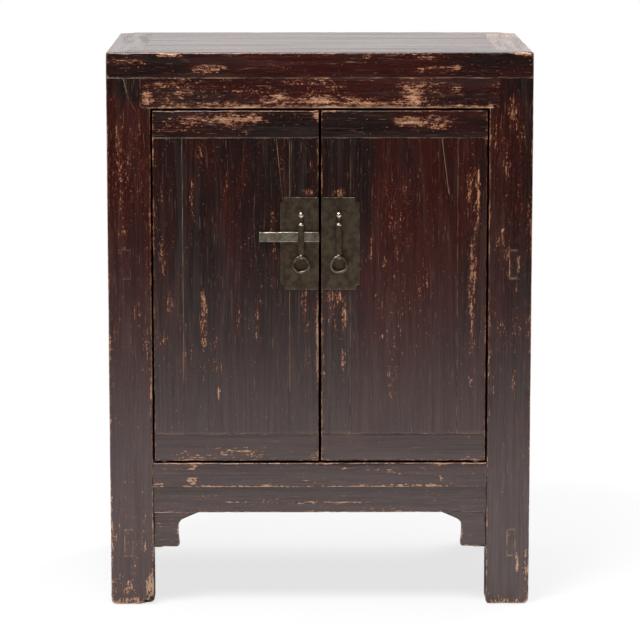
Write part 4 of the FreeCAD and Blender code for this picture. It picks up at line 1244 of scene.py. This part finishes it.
@made_once("materials", "Bare wood")
def bare_wood(name, finish):
    """Unfinished aged softwood with dark grain, greyed by dust."""
    material, tree, shader = new_material(name)
    grain = use_group(tree, grain_group())
    dust = use_group(tree, dust_group(), "joint", "crack")["Dust"]
    wood = raw_colour(tree, grain, finish, BOARD_RING_SHARE)
    wood = blend(tree, step_up(tree, point_value(tree, "tone"), *BOARD_TONE_LEVELS), wood, finish.raw_dark)
    stain = stretched_noise(tree, grain_vector(tree), *STAIN_NOISE)
    wood = blend(tree, step_up(tree, stain, *STAIN_LEVELS), wood, finish.raw_dark)
    lines = largest(tree, dust, grain["Check"], grain["Hairline"])
    wood = blend(tree, times(tree, lines, BOARD_LINE_SHARE), wood, finish.umber)
    roughness = added(tree, times(tree, grain["Streak"], BOARD_STREAK_ROUGHNESS), BOARD_ROUGHNESS)
    height = added(tree, grain["Streak"], times(tree, grain["Ring"], BOARD_RING_HEIGHT))
    height = calc(tree, "SUBTRACT", height, times(tree, grain["Pore"], BOARD_PORE_HEIGHT))
    set_surface(tree, shader, wood, roughness, height, *BOARD_RELIEF)
    return material


@made_once("materials", "Aged brass")
def aged_brass(name, finish):
    """Dark tarnished brass with a dull bloom, bright where it is rubbed."""
    material, tree, shader = new_material(name)
    patina = use_group(tree, patina_group(), "arris")
    metal = blend(tree, patina["Bloom"], finish.tarnish, finish.verdigris)
    metal = blend(tree, patina["Bright"], metal, finish.brass)
    shader.inputs["Metallic"].default_value = 1.0
    roughness = added(tree, times(tree, patina["Bright"], BRIGHT_ROUGHNESS), BRASS_ROUGHNESS,
                      times(tree, patina["Grit"], GRIT_ROUGHNESS))
    set_surface(tree, shader, metal, roughness, patina["Grit"], *BRASS_RELIEF)
    return material


MATERIALS = {"worn_lacquer": worn_lacquer, "bare_wood": bare_wood, "aged_brass": aged_brass}


# The pieces

def rounded_plan(surface):
    """The top's outer corners worn round: a point past a corner's arc is drawn in to it.

    The arc's radius grows with the square of the height in the frame, most at the back, where the
    corners have also sunk, by the square of the nearness to the corner.
    """
    low = np.array([span("top_front_rail", "x")[0], span("top_front_rail", "y")[0]])
    high = np.array([span("top_front_rail", "x")[1], span("top_rear_rail", "y")[1]])
    points = surface["points"]
    flat = points[:, :2]
    bottom, top = span("top_front_rail", "z")
    share = (points[:, 2:] - bottom) / (top - bottom)
    at_back = flat[:, 1:] > (low[1] + high[1]) / 2
    radius = TOP_CORNER_RADIUS + share ** 2 * np.where(at_back, TOP_REAR_WEAR, TOP_FRONT_WEAR)
    room = np.linalg.norm(np.minimum(flat - low, high - flat), axis=1, keepdims=True)
    near = np.clip(1 - room / TOP_DROP_REACH, 0, 1)
    nearest = np.clip(flat, low + radius, high - radius)
    offset = flat - nearest
    length = np.linalg.norm(offset, axis=1, keepdims=True)
    points[:, :2] = nearest + offset / np.maximum(length / radius, 1)
    points[:, 2:] -= TOP_CORNER_DROP * near ** 2 * share * at_back
    return surface


def worn_foot(surface, box):
    """A post's foot rounded by use: near the floor its sides draw in by a quarter circle."""
    points = surface["points"]
    above = np.clip(points[:, 2:], 0, FOOT_RADIUS)
    inset = FOOT_RADIUS - np.sqrt(above * (2 * FOOT_RADIUS - above))
    middle = box.mean(axis=0)[:2]
    half = np.ptp(box, axis=0)[:2] / 2
    points[:, :2] = middle + (points[:, :2] - middle) * (1 - inset / half)
    return surface


def tenon_end(context, box, axis, face, show=1.0):
    """The end of a through tenon, a hair proud of the face that it comes out of."""
    sizes = context.scene.cabinet_timber
    box = box.copy()
    index = AXES.index(axis)
    sign = 1 if face > 0 else -1
    box[:, index] = sorted((face + sign * TENON_STAND, face - sign * TENON_DEPTH))
    others = [letter + way for letter in AXES if letter != axis for way in "+-"]
    seed = int(abs(box.sum()) * TENON_SEED_SCALE) % TENON_SEEDS
    steps = (TENON_DEPTH, TENON_STEP, TENON_STEP)
    end = bar(box, axis, sizes.joint_arris, steps, seed, others, joint_line=TENON_LINE)
    end["joint"] *= show
    return end


class CABINET_OT_top(bpy.types.Operator):
    """Mitred top frame with through tenons, and the boards that it holds"""
    bl_idname = "cabinet.top"
    bl_label = "Top frame and boards"

    def execute(self, context):
        sizes = context.scene.cabinet_timber
        front, front_inner = span("top_front_rail", "y")
        rear_inner, back = span("top_rear_rail", "y")
        tenon_z = around(span("top_front_rail", "z").mean(), TOP_TENON_THICKNESS)
        depths = (TOP_TENON_SETBACK, TOP_TENON_SETBACK + TOP_TENON_WIDTH)
        rails = (("top_front_rail", front, 1, "y-", "y+"), ("top_rear_rail", back, -1, "y+", "y-"))
        for node, edge, inward, outer, inner in rails:
            box = node_box(node)
            surface = timber(context, node, "x", box, f"x- x+ z- {inner}", sizes.top_arris, mitre=outer)
            tenon = trimmed(node, y=[edge + inward * depth for depth in depths], z=tenon_z)
            ends = [tenon_end(context, tenon, "x", x) for x in box[:, 0]]
            make_piece(context, node, [rounded_plan(surface)] + ends)
        for side in SIDES:
            node = f"top_{side}_end"
            outer, inner = side_faces(side)
            box = trimmed(node, y=(front, back))
            surface = timber(context, node, "y", box, f"y- y+ z- {inner}", sizes.top_arris, mitre=outer)
            make_piece(context, node, [rounded_plan(surface)])
        inner_ends = (inner_x("top_left_end"), inner_x("top_right_end"))
        seam = (span("top_board_1", "y")[1] + span("top_board_2", "y")[0]) / 2
        steps = (LENGTH_STEP, FACE_STEP, TIMBER_STEP)
        for node, y in (("top_board_1", (front_inner, seam)), ("top_board_2", (seam, rear_inner))):
            box = trimmed(node, x=inner_ends, y=y)
            board = timber(context, node, "x", box, "x- x+ y- y+ z-", sizes.joint_arris, steps)
            make_piece(context, node, [board])
        return {"FINISHED"}


class CABINET_OT_posts(bpy.types.Operator):
    """Four square posts, their arrises worn and their feet chipped"""
    bl_idname = "cabinet.posts"
    bl_label = "Posts"

    def execute(self, context):
        top = span("top_front_rail", "z")[0]
        steps = (FOOT_STEP, FACE_STEP, TIMBER_STEP)
        for side, place in itertools.product(SIDES, ("front", "rear")):
            node = f"{side}_{place}_post"
            box = trimmed(node, z=(0, top))
            surface = timber(context, node, "z", box, "z+", steps=steps)
            make_piece(context, node, [worn_foot(surface, box)])
        return {"FINISHED"}


class CABINET_OT_front_rails(bpy.types.Operator):
    """Upper rail housed in the posts, sill rail and apron"""
    bl_idname = "cabinet.front_rails"
    bl_label = "Front rails"

    def execute(self, context):
        sizes = context.scene.cabinet_timber
        inside = np.array([inner_x("left_front_post"), inner_x("right_front_post")])
        upper = trimmed("front_upper_rail", x=widened(inside, HOUSING_DEPTH))
        upper[0, 1] -= TENON_STAND
        sill = trimmed("front_sill_rail", x=inside)
        apron_z = (span("left_spandrel", "z")[1], span("front_sill_rail", "z")[0])
        apron = trimmed("front_apron", x=inside, z=apron_z)
        fine = (LENGTH_STEP, TIMBER_STEP, PANEL_STEP)
        rails = (
            ("front_upper_rail", upper, "x- x+ z+", sizes.joint_arris, None),
            ("front_sill_rail", sill, "x- x+ z-", None, fine),
            ("front_apron", apron, "x- x+ z+", APRON_ARRIS, fine),
        )
        for node, box, abut, arris, steps in rails:
            make_piece(context, node, [timber(context, node, "x", box, abut, arris, steps)])
        return {"FINISHED"}


def line_points(start, end, count):
    """Even points on a straight line, the first left off."""
    return start + (np.asarray(end) - start) * np.linspace(0, 1, count)[1:, None]


def spandrel_outline(length, drop):
    """Lower edge of a spandrel from its tip to the post: slope, cove, waist, round foot corner and sole.

    Pairs of distance from the post and height below the apron. The slope runs straight down from
    the tip, and the cove is an arc that carries it on into the waist.
    """
    foot = SPANDREL_FOOT_WIDTH
    radius = SPANDREL_COVE_RADIUS
    turn = np.linspace(math.pi / 2 - SPANDREL_SLOPE, 0, COVE_POINTS)
    across = foot - SPANDREL_WAIST + radius - radius * np.cos(turn)
    fall = (length - across[0]) * math.tan(SPANDREL_SLOPE)
    cove = np.stack([across, fall + radius * (math.sin(turn[0]) - np.sin(turn))], axis=1)
    slope = np.linspace((length, 0), cove[0], SLOPE_POINTS)[:-1]
    soft = SPANDREL_FOOT_RADIUS
    waist = line_points(cove[-1], (foot, drop - soft), WAIST_POINTS)
    hollow = np.sin(np.linspace(0, 1, WAIST_POINTS)[1:] * math.pi)
    waist[:, 0] -= SPANDREL_WAIST * 0.5 * hollow
    bend = np.linspace(0, math.pi / 2, FOOT_CORNER_POINTS)[1:]
    corner = np.stack([foot - soft + soft * np.cos(bend), drop - soft + soft * np.sin(bend)], axis=1)
    sole = line_points(corner[-1], (0, drop), SOLE_POINTS)
    return np.concatenate([slope, cove, waist, corner, sole])


def spandrel_surface(node, inside, sign, seed):
    """A spandrel: a thin loop of front, lower edge and back, carried along the outline.

    A point of the front lies between the outline and the straight edges along apron and post, at a
    share from 0 to 1. The lower edge is rounded at front and back, less and less at both ends.
    """
    low, high = node_box(node)
    high = high + np.array([0, 0, SPANDREL_LAP])
    length = abs(inner_x(node) - inside)
    drop = high[2] - low[2]
    outline = spandrel_outline(length, drop)
    run = np.concatenate([[0], np.cumsum(np.linalg.norm(np.diff(outline, axis=0), axis=1))])
    way = run / run[-1]
    straight = way * (length + drop)
    inner = np.stack([np.maximum(length - straight, 0), np.maximum(straight - length, 0)], axis=1)
    ends = np.minimum(1, np.minimum(way, (1 - way) * SOLE_TAPER_RATE) / SPANDREL_TAPER)
    radius = (SPANDREL_ARRIS * ends)[:, None]
    turn = np.linspace(0, math.pi / 2, ARC_STEPS + 1)
    shares = np.linspace(0, 1, SPANDREL_ROWS)[:-1]
    level = np.zeros(len(shares))
    inset = np.concatenate([level, 1 - np.sin(turn), 1 - np.cos(turn), level])
    outset = np.concatenate([shares, np.ones(2 * len(turn)), shares[::-1]])
    depth = np.concatenate([level, 1 - np.cos(turn)])
    tangent = np.gradient(outline, axis=0)
    tangent /= np.linalg.norm(tangent, axis=1, keepdims=True)
    inward = np.stack([-tangent[:, 1], tangent[:, 0]], axis=1)
    inward *= np.where(np.sum(inward * (inner - outline), axis=1) < 0, -1, 1)[:, None]
    flat = inner[:, None] + (outline - inner)[:, None] * outset[None, :, None]
    flat = flat + inward[:, None] * (radius * inset)[..., None]
    y = np.concatenate([low[1] + radius * depth, high[1] - radius * depth[::-1]], axis=1)
    points = np.stack([inside + sign * flat[..., 0], y, high[2] - flat[..., 1]], axis=-1)
    rows, columns = flat.shape[:2]
    edge = np.tile(np.exp(-(1 - outset) * SPANDREL_WEAR_FALL), (rows, 1)).ravel()
    surface = plain_surface(points.reshape(-1, 3), loop_faces(rows, columns), seed, edge * SPANDREL_WEAR)
    from_joint = outset * np.linalg.norm(outline - inner, axis=1)[:, None]
    surface["joint"] = np.exp(-from_joint / JOINT_LINE).ravel()
    return surface


class CABINET_OT_spandrels(bpy.types.Operator):
    """Coved brackets in the corners below the apron"""
    bl_idname = "cabinet.spandrels"
    bl_label = "Spandrels"

    def execute(self, context):
        for seed, side in enumerate(SIDES):
            node = f"{side}_spandrel"
            inside = inner_x(f"{side}_front_post")
            make_piece(context, node, [spandrel_surface(node, inside, toward_middle(side), seed + 1)])
        return {"FINISHED"}


class CABINET_OT_sides(bpy.types.Operator):
    """Side rails with the ends of their through tenons, and the panels between them"""
    bl_idname = "cabinet.sides"
    bl_label = "Sides"

    def execute(self, context):
        sizes = context.scene.cabinet_timber
        for side in SIDES:
            front, front_inner = span(f"{side}_front_post", "y")
            rear_inner, back = span(f"{side}_rear_post", "y")
            between = (front_inner, rear_inner)
            for place in ("upper", "middle", "lower"):
                node = f"{side}_side_{place}_rail"
                box = trimmed(node, y=between)
                surfaces = [timber(context, node, "y", box, "y- y+ z+" if place == "upper" else "y- y+")]
                if place != "upper":
                    tenon_x = around(box[:, 0].mean(), SIDE_TENON_THICKNESS)
                    tenon = trimmed(node, x=tenon_x, z=widened(box[:, 2], -SIDE_TENON_SHOULDER))
                    show = FAINT_TENONS.get(node, TENON_SHOW)
                    surfaces += [tenon_end(context, tenon, "y", y, show) for y in (front, back)]
                make_piece(context, node, surfaces)
            for place in ("upper", "lower"):
                node = f"{side}_side_{place}_panel"
                box = trimmed(node, y=between, z=widened(span(node, "z"), -PANEL_INSERT))
                make_piece(context, node, [timber(context, node, "z", box, "y- y+ z- z+", sizes.joint_arris)])
        return {"FINISHED"}


class CABINET_OT_back(bpy.types.Operator):
    """Bare rails and panels of the back"""
    bl_idname = "cabinet.back"
    bl_label = "Back"

    def execute(self, context):
        sizes = context.scene.cabinet_timber
        inside = (inner_x("left_rear_post"), inner_x("right_rear_post"))
        for place in ("upper", "middle", "lower"):
            node = f"rear_{place}_rail"
            make_piece(context, node, [timber(context, node, "x", trimmed(node, x=inside), "x- x+")])
        for place in ("upper", "lower"):
            node = f"rear_{place}_panel"
            box = trimmed(node, x=inside, z=widened(span(node, "z"), -PANEL_INSERT))
            make_piece(context, node, [timber(context, node, "x", box, "x- x+ z- z+", sizes.joint_arris)])
        return {"FINISHED"}


class CABINET_OT_inside_boards(bpy.types.Operator):
    """Floor, shelf, door stop and the battens that keep top and doors flat"""
    bl_idname = "cabinet.inside_boards"
    bl_label = "Inside boards"

    def execute(self, context):
        arris = context.scene.cabinet_timber.joint_arris
        boards = [(f"floor_board_{place}", "y") for place in (1, 2, 3)]
        boards += [(f"shelf_board_{place}", "x") for place in (1, 2, 3)]
        boards += [("door_stop", "x"), ("top_batten", "y")]
        boards += [(f"{side}_door_batten", "x") for side in SIDES]
        for node, grain in boards:
            board = timber(context, node, grain, radius=arris, wear=INSIDE_BOARD_ROUNDING)
            make_piece(context, node, [board])
        return {"FINISHED"}


def door_field(side):
    """The span in z between a door's rails."""
    return span(f"{side}_door_bottom_rail", "z")[1], span(f"{side}_door_top_rail", "z")[0]


def pivot_pins(side):
    """The two wooden pins of a door: turned rods that stand out of its hinge stile at both ends."""
    node = f"{side}_door_hinge_stile"
    x = outer_x(node) + toward_middle(side) * PIVOT_FROM_EDGE
    y = span(node, "y")[0] + PIVOT_FROM_FRONT
    bottom, top = span(node, "z")
    low_end, high_end = door_field(side)
    pins = []
    for low, high in ((bottom, low_end + PIN_CHAMFER), (high_end - PIN_CHAMFER, top)):
        heights = [low, low, low + PIN_CHAMFER, high - PIN_CHAMFER, high, high]
        pins.append(turned(PIN_PROFILE * PIVOT_RADIUS, heights, (x, y)))
    return pins


class CABINET_OT_door_frames(bpy.types.Operator):
    """Stiles and rails of both doors, with the wooden pins that the doors turn on"""
    bl_idname = "cabinet.door_frames"
    bl_label = "Door frames"

    def execute(self, context):
        upright = (LENGTH_STEP, DOOR_STEP, TIMBER_STEP)
        level = (LENGTH_STEP, TIMBER_STEP, DOOR_STEP)
        for side in SIDES:
            outer, inner = side_faces(side)
            for stile, joint, pins in (("hinge", inner, pivot_pins(side)), ("meeting", outer, [])):
                node = f"{side}_door_{stile}_stile"
                box = trimmed(node, z=door_field(side))
                surface = timber(context, node, "z", box, f"{joint} z- z+", steps=upright)
                make_piece(context, node, [surface] + pins)
            for rail, joint in (("top", "z-"), ("bottom", "z+")):
                node = f"{side}_door_{rail}_rail"
                make_piece(context, node, [timber(context, node, "x", None, joint, steps=level)])
        return {"FINISHED"}


class CABINET_OT_door_panels(bpy.types.Operator):
    """Flush door panels with their open cracks"""
    bl_idname = "cabinet.door_panels"
    bl_label = "Door panels"

    def execute(self, context):
        arris = context.scene.cabinet_timber.joint_arris
        steps = (LENGTH_STEP, PANEL_STEP, TIMBER_STEP)
        for side in SIDES:
            node = f"{side}_door_panel"
            x = (inner_x(f"{side}_door_hinge_stile"), outer_x(f"{side}_door_meeting_stile"))
            box = trimmed(node, x=x, z=door_field(side))
            make_piece(context, node, [timber(context, node, "z", box, "x- x+ z- z+", arris, steps)])
        return {"FINISHED"}


def resampled(corners, step):
    """A closed outline walked in even steps, its corners kept."""
    sides = []
    for start, end in zip(corners, np.roll(corners, -1, axis=0)):
        count = max(1, math.ceil(np.linalg.norm(end - start) / step))
        sides.append(start + (end - start) * np.linspace(0, 1, count, endpoint=False)[:, None])
    return np.concatenate(sides)


def plate_surface(node, outer_sign):
    """A face plate: its stepped outline drawn in by shares towards its middle, front and back.

    Rows go from the middle of the front out to the rim, round the rim and in again behind. The
    front is beaten uneven by a noise, so it is dented towards the door.
    """
    low, high = node_box(node)
    middle = (low + high) / 2
    half = (high - low) / 2
    radius = PLATE_ARRIS
    step = half[0] - PLATE_NOTCH_WIDTH
    slant = step + PLATE_NOTCH_SLANT
    shoulder = half[2] - PLATE_NOTCH_HEIGHT
    upper = [(-half[0], half[2]), (step, half[2]), (slant, shoulder), (half[0], shoulder)]
    corners = np.array(upper + [(x, -z) for x, z in reversed(upper)])
    corners[:, 0] *= outer_sign
    outline = resampled(corners, BRASS_STEP)
    turn = np.linspace(0, math.pi / 2, ARC_STEPS + 1)
    share = np.linspace(0, 1, PLATE_ROWS)[1:-1]
    inset = np.concatenate([np.full(len(share), radius), radius - radius * np.sin(turn)])
    inset = np.concatenate([inset, inset[::-1]])
    rim = (radius - radius * np.cos(turn)) * PLATE_RIM_DEPTH
    depth = np.concatenate([np.zeros(len(share)), rim])
    depth = np.concatenate([low[1] + depth, high[1] - depth[::-1]])
    share = np.concatenate([share, np.ones(2 * len(turn)), share[::-1]])
    drawn = 1 - inset[:, None, None] / half[[0, 2]]
    flat = outline * drawn * share[:, None, None]
    points = np.empty((len(share), len(outline), 3))
    points[..., 0] = middle[0] + flat[..., 0]
    points[..., 1] = depth[:, None]
    points[..., 2] = middle[2] + flat[..., 1]
    arris = PLATE_RUBBED * np.exp(-np.abs(1 - share) * half[0] / PLATE_ARRIS)
    rows, columns = points.shape[:2]
    points = points.reshape(-1, 3)
    dent = smooth_noise(points / DENT_SIZE, DENT_SEEDS[0])
    dent += SMALL_DENT_SHARE * smooth_noise(points / SMALL_DENT_SIZE, DENT_SEEDS[1])
    points[:, 1] += DENT_DEPTH * dent * (points[:, 1] < middle[1])
    return plain_surface(points, loop_faces(rows, columns), outer_sign, np.repeat(arris, columns))


class CABINET_OT_plates(bpy.types.Operator):
    """Brass face plates with stepped outer corners"""
    bl_idname = "cabinet.plates"
    bl_label = "Face plates"

    def execute(self, context):
        for side in SIDES:
            node = f"{side}_door_plate"
            make_piece(context, node, [plate_surface(node, -toward_middle(side))])
        return {"FINISHED"}


def finial(middle, base):
    """The turned top of a staple: half an ellipse for the collar, a hollow neck and a ball."""
    swell = np.linspace(0, math.pi, COLLAR_POINTS)
    collar = NECK_RADIUS + (COLLAR_RADIUS - NECK_RADIUS) * np.sin(swell)
    collar_z = base + COLLAR_HEIGHT * (1 - np.cos(swell)) / 2
    way = np.linspace(0, 1, NECK_POINTS)[1:-1]
    neck = NECK_RADIUS * (1 - NECK_HOLLOW * np.sin(way * math.pi))
    neck_z = base + COLLAR_HEIGHT + NECK_HEIGHT * way
    start = math.asin(NECK_RADIUS / BALL_RADIUS)
    turn = np.linspace(start, math.pi, BALL_POINTS)
    ball = BALL_RADIUS * np.sin(turn)
    ball_middle = base + COLLAR_HEIGHT + NECK_HEIGHT + BALL_RADIUS * math.cos(start)
    ball_z = ball_middle - BALL_RADIUS * np.cos(turn)
    radii = np.concatenate([[0], collar, neck, ball])
    heights = np.concatenate([[base], collar_z, neck_z, ball_z])
    rubbed = np.repeat((FINIAL_RUBBED, 0, FINIAL_RUBBED), (1 + len(collar), len(neck), len(ball)))
    return turned(radii, heights, middle, np.repeat(rubbed, TURNED_SIDES))


def staple_surfaces(side):
    """A staple: strap, two legs through the door, clinched ends, turned finial and ring eye."""
    plate = node_box(f"{side}_door_plate")
    lock = node_box("lock_bar")
    door_back = span(f"{side}_door_top_rail", "y")[1]
    x = span(f"{side}_door_staple", "x").mean()
    strap_y = lock[0, 1] - STRAP_PLAY - np.array([STRAP_THICKNESS, 0])
    loop_z = widened(lock[:, 2], LOOP_PLAY)
    eye_z = plate[:, 2].mean() - EYE_BELOW_PLATE_MIDDLE
    eye_y = plate[0, 1] - EYE_FROM_PLATE
    top = loop_z[1] + LEG_HEIGHT + STRAP_ABOVE_LEG
    steps = (STRAP_STEP, BRASS_STEP, BRASS_STEP)
    strap = np.stack([around(x, STRAP_WIDTH), strap_y, (eye_z + EYE_RADIUS, top)], axis=1)
    strap = bar(strap, "z", STRAP_ARRIS, steps, STRAP_SEED, wear=STRAP_WEAR)
    strap["arris"] *= STRAP_RUBBED
    surfaces = [strap, finial((x, strap_y.mean()), top - FINIAL_SINK)]
    slim = around(x, LEG_WIDTH)
    leg_y = (strap_y[1] - LEG_LAP, door_back + LEG_LAP)
    clinch_y = (door_back, door_back + CLINCH_THICKNESS)
    for end, away in ((loop_z[1], 1), (loop_z[0], -1)):
        tip = end + away * LEG_HEIGHT
        leg = np.stack([slim, leg_y, sorted((end, tip))], axis=1)
        clinch = np.stack([slim, clinch_y, sorted((end, tip + away * CLINCH_LENGTH))], axis=1)
        surfaces.append(bar(leg, "y", LEG_ARRIS, steps, LEG_SEED))
        surfaces.append(bar(clinch, "z", CLINCH_ARRIS, steps, CLINCH_SEED))
    eye = hoop(np.array([x, eye_y, eye_z]), "x", EYE_RADIUS, EYE_WIRE_RADIUS,
               EYE_HALF_LENGTH / EYE_WIRE_RADIUS, EYE_RUBBED, EYE_ROWS)
    return surfaces + [eye]


class CABINET_OT_staples(bpy.types.Operator):
    """Staples that hold the lock bar and the rings"""
    bl_idname = "cabinet.staples"
    bl_label = "Staples"

    def execute(self, context):
        for side in SIDES:
            make_piece(context, f"{side}_door_staple", staple_surfaces(side))
        return {"FINISHED"}


class CABINET_OT_rings(bpy.types.Operator):
    """Ring pulls of bent wire"""
    bl_idname = "cabinet.rings"
    bl_label = "Ring pulls"

    def execute(self, context):
        for side in SIDES:
            node = f"{side}_door_ring"
            box = node_box(node)
            radius = (box[1, 0] - box[0, 0]) / 2 + RING_GROWTH - RING_WIRE_RADIUS
            ring = hoop(box.mean(axis=0), "y", radius, RING_WIRE_RADIUS, arris=RING_RUBBED)
            make_piece(context, node, [ring])
        return {"FINISHED"}


class CABINET_OT_lock_bar(bpy.types.Operator):
    """Flat bar that slides through both staples"""
    bl_idname = "cabinet.lock_bar"
    bl_label = "Lock bar"

    def execute(self, context):
        steps = (LOCK_STEP, BRASS_STEP, BRASS_STEP)
        surface = bar(node_box("lock_bar"), "x", LOCK_ARRIS, steps, LOCK_SEED,
                      wear=LOCK_WEAR, marks=LOCK_MARKS)
        surface["arris"] = np.full_like(surface["arris"], LOCK_RUBBED)
        make_piece(context, "lock_bar", [surface])
        return {"FINISHED"}


# Studio

def seen_rays(tree):
    """Whether a ray comes from the camera, and whether from a reflection or through glass."""
    path = add_node(tree, "LightPath").outputs
    return path["Is Camera Ray"], largest(tree, path["Is Glossy Ray"], path["Is Transmission Ray"])


def white_world(studio):
    """White to the camera and to reflections from behind, darker in front, dim as even light."""
    world = bpy.data.worlds.new("Studio")
    world.use_nodes = True
    tree = world.node_tree
    background = tree.nodes["Background"]
    background.inputs["Color"].default_value = (1, 1, 1, 1)
    camera, mirrored = seen_rays(tree)
    direction = add_node(tree, "TexCoord").outputs["Generated"]
    depth = add_node(tree, "SeparateXYZ", {0: direction}).outputs["Y"]
    behind = times(tree, mirrored, step_up(tree, depth, *MIRRORED_LEVELS))
    dimmed = calc(tree, "SUBTRACT", 1.0, times(tree, mirrored, MIRRORED_DIMMING))
    even = times(tree, dimmed, studio.fill)
    tree.links.new(largest(tree, behind, camera, even), background.inputs["Strength"])
    return world


def floor_material():
    """Pale floor that keeps its shadow near the cabinet and turns white to the camera farther out.

    It darkens some way in front, as the room does beyond a paper sheet.
    """
    material, tree, shader = new_material("Pale floor")
    shader.inputs["Roughness"].default_value = FLOOR_ROUGHNESS
    place = add_node(tree, "TexCoord").outputs["Object"]
    depth = add_node(tree, "SeparateXYZ", {0: place}).outputs["Y"]
    sheet = step_up(tree, depth, -SHEET_END - SHEET_FADE, -SHEET_END)
    tree.links.new(blend(tree, sheet, ROOM_COLOUR, FLOOR_COLOUR), shader.inputs["Base Color"])
    camera, mirrored = seen_rays(tree)
    seen = largest(tree, camera, times(tree, mirrored, step_up(tree, depth, *BEHIND_LEVELS)))
    distance = add_node(tree, "VectorMath", {0: place}, operation="LENGTH").outputs["Value"]
    fade = largest(tree, step_up(tree, distance, *SHADOW_LEVELS), SHADOW_LIFT)
    white = add_node(tree, "Emission", {"Strength": 1.0})
    shares = {0: times(tree, fade, seen), 1: shader.outputs[0], 2: white.outputs[0]}
    mixed = add_node(tree, "MixShader", shares)
    tree.links.new(mixed.outputs[0], tree.nodes["Material Output"].inputs["Surface"])
    return material


def floor_object():
    """The floor: one large square."""
    corners = [(x * FLOOR_HALF, y * FLOOR_HALF, 0) for x, y in ((-1, -1), (1, -1), (1, 1), (-1, 1))]
    mesh = bpy.data.meshes.new("floor")
    mesh.from_pydata(corners, [], [(0, 1, 2, 3)])
    mesh.materials.append(floor_material())
    return bpy.data.objects.new("floor", mesh)


def area_lamp(name, place, size, power):
    """A square soft lamp that looks at the middle of the cabinet."""
    lamp = bpy.data.lights.new(name, "AREA")
    lamp.size = size
    lamp.energy = power
    holder = bpy.data.objects.new(name, lamp)
    holder.location = place
    holder.rotation_euler = (Vector(LAMP_TARGET) - Vector(place)).to_track_quat("-Z", "Y").to_euler()
    return holder


def studio_camera(studio):
    """The camera, in front of the cabinet and a little aside, tilted down."""
    camera = bpy.data.cameras.new("camera")
    camera.lens = studio.lens
    camera.sensor_width = SENSOR_WIDTH
    holder = bpy.data.objects.new("camera", camera)
    holder.location = (-studio.aside, case_front() - studio.distance, studio.height)
    yaw = math.atan2(studio.aside, studio.distance)
    holder.rotation_euler = (math.pi / 2 - studio.pitch, 0, -yaw)
    return holder


class CABINET_OT_studio(bpy.types.Operator):
    """Pale floor, soft light and the camera"""
    bl_idname = "cabinet.studio"
    bl_label = "Studio"

    def execute(self, context):
        scene = context.scene
        studio = scene.cabinet_studio
        scene.view_settings.view_transform = "Standard"
        scene.world = white_world(studio)
        ground = floor_object()
        scene.collection.objects.link(ground)
        for name, (place, size, share) in LAMPS.items():
            scene.collection.objects.link(area_lamp(name, place, size, studio.key * share))
        camera = studio_camera(studio)
        scene.collection.objects.link(camera)
        scene.camera = camera
        return {"FINISHED"}


class CABINET_PT_panel(bpy.types.Panel):
    """Lists the pieces of the cabinet"""
    bl_idname = "CABINET_PT_panel"
    bl_label = "Cabinet"
    bl_space_type = "VIEW_3D"
    bl_region_type = "UI"
    bl_category = "Cabinet"

    def draw(self, context):
        for operator in OPERATORS:
            self.layout.operator(operator.bl_idname)
        for group in GROUPS:
            settings = getattr(context.scene, group)
            for name in settings.__annotations__:
                self.layout.prop(settings, name)


GROUPS = {"cabinet_timber": CabinetTimber, "cabinet_finish": CabinetFinish, "cabinet_studio": CabinetStudio}
OPERATORS = (
    CABINET_OT_top, CABINET_OT_posts, CABINET_OT_front_rails, CABINET_OT_spandrels, CABINET_OT_sides,
    CABINET_OT_back, CABINET_OT_inside_boards, CABINET_OT_door_frames, CABINET_OT_door_panels,
    CABINET_OT_plates, CABINET_OT_staples, CABINET_OT_rings, CABINET_OT_lock_bar, CABINET_OT_studio,
)


def register():
    """Adds the settings and the classes to Blender."""
    for group in GROUPS.values():
        bpy.utils.register_class(group)
    for name, group in GROUPS.items():
        setattr(bpy.types.Scene, name, PointerProperty(type=group))
    for cls in OPERATORS + (CABINET_PT_panel,):
        bpy.utils.register_class(cls)


def unregister():
    """Takes the classes and the settings out again."""
    for cls in reversed(OPERATORS + (CABINET_PT_panel,)):
        bpy.utils.unregister_class(cls)
    for name, group in GROUPS.items():
        delattr(bpy.types.Scene, name)
        bpy.utils.unregister_class(group)


def main():
    """Builds every piece in order."""
    register()
    for operator in OPERATORS:
        group, name = operator.bl_idname.split(".")
        getattr(getattr(bpy.ops, group), name)()
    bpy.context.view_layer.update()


if __name__ == "__main__":
    main()
